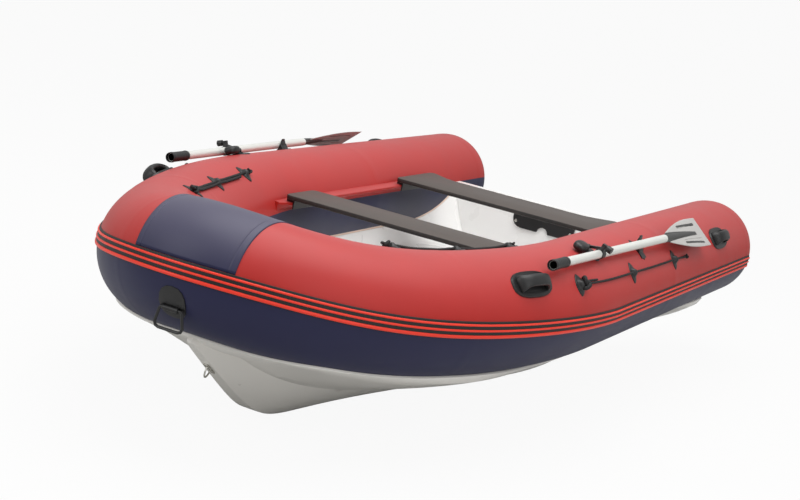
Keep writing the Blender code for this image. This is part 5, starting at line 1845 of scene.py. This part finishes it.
@dataclass
class Oar:
    """An oar: an alloy shaft, a rubber sleeve with an open end, and a fan blade with a rib and slots."""

    shaft_radius: float = 0.0165
    sleeve_radius: float = 0.0205
    sleeve_length: float = 0.120
    sleeve_open: float = 0.012
    sleeve_lip: float = 0.0012
    groove: float = 0.0005
    groove_pitch: float = 0.011
    shaft_wall: float = 0.0022
    shaft_round: float = 0.001
    bore: float = 0.09
    ahead: float = 0.428
    astern: float = 0.690
    blade_length: float = 0.490
    blade_half: float = 0.070
    plate: float = 0.0050
    rib: float = 0.0155
    drop: float = 0.010
    set_out: float = 0.004
    roll: float = -22.0
    slot_place: float = 0.031
    slot_half: float = 0.0042
    slot_span: tuple[float, float] = (0.42, 0.86)

    @staticmethod
    def local(item: bpy.types.Object, side: Side) -> np.ndarray:
        """The middles of an oar piece's faces, inboard, along the oar and out from its collar."""
        return (face_centres(item) * side.mirror - OAR_COLLAR) @ OAR_AXES.T

    def build(self, side: Side) -> None:
        """Makes one oar.

        Args:
            side: port or starboard.
        """
        body = f"oar_{side.word}"
        radius, front = self.shaft_radius, self.ahead
        edge, hollow, floor = self.shaft_round, radius - self.shaft_wall, front - self.bore
        shaft = self.tube([(0.0, -self.astern), (radius, -self.astern), (radius, front - edge),
                           (radius - edge, front), (hollow, front), (hollow, floor), (0.0, floor)])
        piece = grid_object(f"shaft_{side.word}", on_oar(shaft, side), sharp=30)
        paint(piece, ALLOY, NYLON)
        local = self.local(piece, side)
        # The inner faces of the hollow end take black nylon as painted shade in the open bore.
        inside = (np.hypot(local[:, 0], local[:, 2]) < self.shaft_radius - 0.002) & (local[:, 1] > 0)
        paint_faces(piece, inside, 1)
        dress(piece, body, "oar_alloy", f"oar_shaft_{side.word}")
        self.sleeve(side, body)
        self.blade(side, body)

    @staticmethod
    def tube(profile: Sequence[tuple[float, float]]) -> np.ndarray:
        """A profile of radius and place along the oar, turned round the oar."""
        return turned(np.array(profile), 56) @ LAID_ALONG

    def sleeve(self, side: Side, body: str) -> None:
        """The rubber sleeve: a smooth grip between two raised bands, with a rolled open mouth.

        Args:
            side: port or starboard.
            body: the body it rides on.
        """
        front = self.ahead + self.sleeve_open
        length, lip = self.sleeve_length, self.sleeve_lip
        y = np.linspace(0, length, 60)
        swell = lip * (np.exp(-((y - 0.008) / 0.005) ** 2) + np.exp(-((y - length + 0.012) / 0.008) ** 2))
        grooves = self.groove * np.clip(np.cos(2 * math.pi * y / self.groove_pitch), 0, 1)
        grooves = grooves * smooth_step(y, 0.02, 0.03) * (1 - smooth_step(y, length - 0.045, length - 0.035))
        outer = np.stack([self.sleeve_radius - lip + swell - grooves, front - length + y], axis=1)
        inner_radius = self.shaft_radius + 0.0003
        mouth = np.array([(outer[-1, 0] - lip, front), (inner_radius + 0.0008, front - 0.0004),
                          (inner_radius, front - 0.002), (inner_radius, front - length)])
        profile = np.concatenate([outer, mouth, outer[:1]])
        piece = grid_object(f"sleeve_{side.word}", on_oar(self.tube(profile), side), sharp=50)
        dress(paint(piece, BLACK_RUBBER), body, "black_rubber", f"oar_sleeve_{side.word}")

    def half_width(self, share: np.ndarray) -> np.ndarray:
        """The fan's half width: a neck, then a quarter sine that opens to the tip.

        Args:
            share: the share of the blade's length.

        Returns:
            Half widths.
        """
        neck = self.shaft_radius + 0.001
        spread = np.clip((share - 0.05) / 0.95, 0, 1)
        return neck + (self.blade_half - neck) * np.sin(math.pi / 2 * np.clip(spread * 1.25, 0, 1)) ** 0.9

    def blade(self, side: Side, body: str) -> None:
        """The blade: a plate whose middle swells into a socket and a tapering rib, with two slots.

        Args:
            side: port or starboard.
            body: the body it rides on.
        """
        share = np.linspace(0, 1, 145)[:, None]
        across = np.linspace(-1, 1, 113)[None, :]
        half = self.half_width(share)
        x = half * across
        rib_half = self.shaft_radius * (1 - 0.72 * share)
        rib = np.maximum(self.plate / 2, self.rib * (1 - share) ** 1.2)
        dome = np.sqrt(np.clip(1 - (x / rib_half) ** 2, 0, 1))
        edge = self.plate / 2 * np.sqrt(np.clip(1 - np.abs(across) ** 10, 0, 1))
        height = np.maximum(edge, rib * dome * (share < 0.97) + 0 * across)
        tip = 1 - smooth_step(share, 0.985, 1.0)
        height = height * (0.25 + 0.75 * tip) * (1 - 0.7 * self.in_slot(x, share))
        y = -self.blade_length * share + 0 * across
        droop = -self.drop * share ** 2 + 0 * across
        aside = -self.set_out * share ** 2
        upper = np.stack([x + aside, y, droop + height], axis=2)
        lower = np.stack([x + aside, y, droop - height], axis=2)
        ring = np.concatenate([upper, lower[:, ::-1], upper[:, :1]], axis=1)
        cosine, sine = math.cos(math.radians(self.roll)), math.sin(math.radians(self.roll))
        turn = np.array([[cosine, 0, -sine], [0, 1, 0], [sine, 0, cosine]])
        local = capped(ring) @ turn + np.array([0, -self.astern - 0.0003, 0])
        blade = grid_object(f"blade_{side.word}", on_oar(local, side), sharp=50)
        paint(blade, BLADE_PLASTIC, RIB_PLASTIC)
        self.colour(blade, side)
        dress(blade, body, "oar_plastic", f"oar_blade_{side.word}")

    def in_slot(self, x: np.ndarray, share: np.ndarray) -> np.ndarray:
        """1 within the two long recesses beside the rib and 0 outside, with a short slope between.

        Args:
            x: places across the blade.
            share: the share of the blade's length.

        Returns:
            Values from 0 to 1.
        """
        first, last = self.slot_span
        beyond = np.abs(share - (first + last) / 2) - (last - first) / 2
        middle = self.slot_place * (0.75 + 0.35 * share)
        away = np.hypot(np.abs(x) - middle, np.clip(beyond * self.blade_length, 0, None))
        return 1 - smooth_step(away, self.slot_half - 0.0012, self.slot_half)

    def colour(self, blade: bpy.types.Object, side: Side) -> None:
        """Paints the socket, the rib and the recesses dark.

        Args:
            blade: the blade.
            side: port or starboard.
        """
        local = self.local(blade, side)
        roll = math.radians(self.roll)
        share = -(local[:, 1] + self.astern) / self.blade_length
        x = local[:, 0] * math.cos(roll) + local[:, 2] * math.sin(roll) + self.set_out * share ** 2
        rib = (np.abs(x) < self.shaft_radius * (1 - 0.80 * share)) & (share < 0.80)
        paint_faces(blade, rib | (self.in_slot(x, share) > 0.5), 1)


@dataclass
class SmallFittings:
    """Oar clips, valves, towing point and bow eye."""

    frame: dict
    clip_x: float = 1.495
    clip_along: float = -0.4589
    leaf_half: tuple[float, float] = (0.052, 0.025)
    leaf_height: float = 0.0028
    leaf_angle: float = 54.1
    horn_route: tuple[tuple[float, float], ...] = (
        (0.0225, -0.014), (0.0232, 0.001), (0.0236, 0.012), (0.0252, 0.018), (0.0275, 0.0210))
    horn_half: tuple[float, float] = (0.0200, 0.0040)
    horn_square: float = 3.0
    horn_taper: float = 0.35
    ring_swell: float = 0.0012

    def build(self) -> None:
        """Makes each fitting."""
        both(self.clip)
        self.valves()
        self.towing_point()
        self.bow_eye()

    def clip(self, side: Side) -> None:
        """The clip that the shaft lies in, on a rubber leaf, with a tapering horn over the shaft.

        Args:
            side: port or starboard.
        """
        node = f"oar_clip_{side.word}"
        taken_over(f"{node}_moulding", node, self.frame, 0.0012, NYLON, "boat", "black_plastic")
        points = pad_points(*self.leaf_half, LEAF_SQUARE, self.height, 20, 48)
        rubber_pad(f"clip_leaf_{side.word}", points, self.clip_x, self.leaf_angle, side)
        inboard, out = np.array(self.horn_route).T
        path = smooth_curve(np.stack([inboard, 0 * inboard + self.clip_along, out], axis=1), 0.001)
        wide, tall = superellipse(np.linspace(0, 2 * math.pi, 33), self.horn_square)
        taper = 1 - self.horn_taper * smooth_step(np.linspace(0, 1, len(path)), 0.5, 1.0)[:, None]
        profile = np.stack([self.horn_half[0] * wide * taper, self.horn_half[1] * tall * taper], axis=2)
        swept = capped(sweep(path, np.array([1.0, 0, 0]), profile))
        horn = grid_object(f"clip_horn_{side.word}", on_oar(swept, side))
        dress(paint(horn, NYLON), "boat", "black_plastic")

    def height(self, share: np.ndarray, u: np.ndarray, _v: np.ndarray) -> np.ndarray:
        """The leaf's top, level up to its rim."""
        return self.leaf_height * (1 - smooth_step(share, 0.9, 1.02)) + 0 * u

    def valves(self) -> None:
        """The inflation valves' flush caps."""
        for word in ("port", "starboard", "bow"):
            taken_over(f"valve_cap_{word}", f"valve_{word}", self.frame, 0.0010, NYLON, "boat",
                       "black_plastic")

    def towing_point(self) -> None:
        """A rubber patch with a sleeve for the ring, and the ring that hangs from it."""
        taken_over("towing_patch", "tow_patch", self.frame, 0.0009, BLACK_RUBBER, "boat", "black_rubber")
        ring = paint(softened("towing_ring_bar", "towing_ring", self.frame, 0.0005), NYLON)
        swollen(ring, self.ring_swell)
        dress(ring, "towing_ring", "black_plastic", "towing_ring")

    def bow_eye(self) -> None:
        """The stainless eye on the stem."""
        taken_over("stem_eye", "bow_eye", self.frame, 0.0007, STEEL, "boat", "stainless")


@dataclass
class Studio:
    """A pale floor, soft light from above and the photograph's point of view."""

    eye: tuple[float, float, float] = (6.2880, 2.7521, 1.8871)
    yaw: float = -2.7169
    pitch: float = -0.2032
    roll: float = 0.1908
    focal_px: float = 1734.22
    image_width: int = 800
    sensor_mm: float = 36.0
    floor_reach: float = 400.0
    floor_colour: str = "#c4c4c2"
    floor_glow: float = 0.93
    sky_light: float = 0.60

    def build(self) -> None:
        """Makes the camera, the floor, the world and the lamps."""
        self.camera()
        self.floor()
        self.world()
        self.lamp("overhead", (0.5, 0.6, 5.0), (0.2, 0.0, 0.0), 5.0, 255.0)
        self.lamp("front_left", (5.5, -3.0, 3.2), (0.5, 0.0, 0.4), 3.5, 90.0)
        self.lamp("near_side", (3.0, 6.0, 2.6), (0.0, 0.0, 0.4), 4.0, 70.0)

    def camera(self) -> None:
        """The camera, solved from the outlines of the boat in the photograph."""
        level_share = math.cos(self.pitch)
        ahead = np.array([math.cos(self.yaw) * level_share, math.sin(self.yaw) * level_share,
                          math.sin(self.pitch)])
        level = unit(np.cross(ahead, np.array([0.0, 0.0, 1.0])))
        above = np.cross(level, ahead)
        right = math.cos(self.roll) * level + math.sin(self.roll) * above
        up = -math.sin(self.roll) * level + math.cos(self.roll) * above
        lens = bpy.data.cameras.new("camera")
        lens.sensor_width = self.sensor_mm
        lens.lens = self.focal_px / self.image_width * self.sensor_mm
        made = added("camera", lens)
        turn = np.eye(4)
        turn[:3, 0], turn[:3, 1], turn[:3, 2], turn[:3, 3] = right, up, -ahead, self.eye
        made.matrix_world = Matrix(turn.tolist())
        bpy.context.scene.camera = made

    def floor(self) -> None:
        """A wide pale floor, which the camera sees nearly white."""
        mesh = bpy.data.meshes.new("floor")
        corners = [(self.floor_reach * x, self.floor_reach * y, 0) for x, y in
                   ((-1, -1), (1, -1), (1, 1), (-1, 1))]
        mesh.from_pydata(corners, [], [(0, 1, 2, 3)])
        made = added("floor", mesh)
        material = bpy.data.materials.new("pale_floor")
        material.use_nodes = True
        tree = material.node_tree
        shader = tree.nodes["Principled BSDF"]
        shader.inputs["Base Color"].default_value = linear(self.floor_colour)
        shader.inputs["Roughness"].default_value = 0.9
        path = add_node(tree, "ShaderNodeLightPath", {}, {})
        glow = add_node(tree, "ShaderNodeEmission", {"Color": (1, 1, 1, 1), "Strength": 1.0}, {})
        share = add_node(tree, "ShaderNodeMath", {"operation": "MULTIPLY", 1: self.floor_glow},
                         {0: path.outputs["Is Camera Ray"]})
        mixed = add_node(tree, "ShaderNodeMixShader", {},
                         {0: share.outputs["Value"], 1: shader.outputs["BSDF"], 2: glow.outputs["Emission"]})
        tree.links.new(mixed.outputs["Shader"], tree.nodes["Material Output"].inputs["Surface"])
        mesh.materials.append(material)

    def world(self) -> None:
        """A white backdrop to the eye and through glass, and a softer light on the boat."""
        world = bpy.data.worlds.new("studio")
        bpy.context.scene.world = world
        world.use_nodes = True
        tree = world.node_tree
        back = tree.nodes["Background"]
        back.inputs["Color"].default_value = (1, 1, 1, 1)
        path = add_node(tree, "ShaderNodeLightPath", {}, {})
        seen = combined(tree, "MAXIMUM", path.outputs["Is Camera Ray"], path.outputs["Is Transmission Ray"])
        level = respan(tree, seen, (0.0, 1.0), (self.sky_light, 1.0))
        tree.links.new(level, back.inputs["Strength"])

    @staticmethod
    def lamp(name: str, place: tuple[float, float, float], aim: tuple[float, float, float], size: float,
             power: float) -> None:
        """A square soft box.

        Args:
            name: the lamp's name.
            place: where it stands.
            aim: what it points at.
            size: the length of its sides.
            power: its watts.
        """
        light = bpy.data.lights.new(name, "AREA")
        light.size = size
        light.energy = power
        made = added(name, light)
        made.location = place
        made.rotation_euler = (Vector(place) - Vector(aim)).to_track_quat("Z", "Y").to_euler()


HANDLES = (CarryHandle("front_handle", 2.454, 42.0), CarryHandle("aft_handle", 0.475, 37.0))


def main() -> None:
    """Builds the boat's pieces in order around the frame."""
    logging.basicConfig(level=logging.INFO, format="%(message)s")
    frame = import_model()
    bpy.context.scene.view_settings.view_transform = "Standard"
    Studio().build()
    AirTubes().build()
    RubbingStrake().build()
    BowPatch().build()
    HullShell().build()
    DeckLiner().build()
    SternBoard(frame).build()
    Seats(frame).build()
    for handle in HANDLES:
        both(handle.build)
    for line, name in ((OUTER_LINE, "outer_eyelet"), (INNER_LINE, "inner_eyelet")):
        for count, (x, angle) in enumerate(line.eyelets, start=1):
            for side in Side:
                Eyelet().build(f"{name}_{count}", x, angle, side)
        both(line.build)
    both(Rowlock(frame).build)
    both(Oar().build)
    SmallFittings(frame).build()


if __name__ == "__main__":
    main()
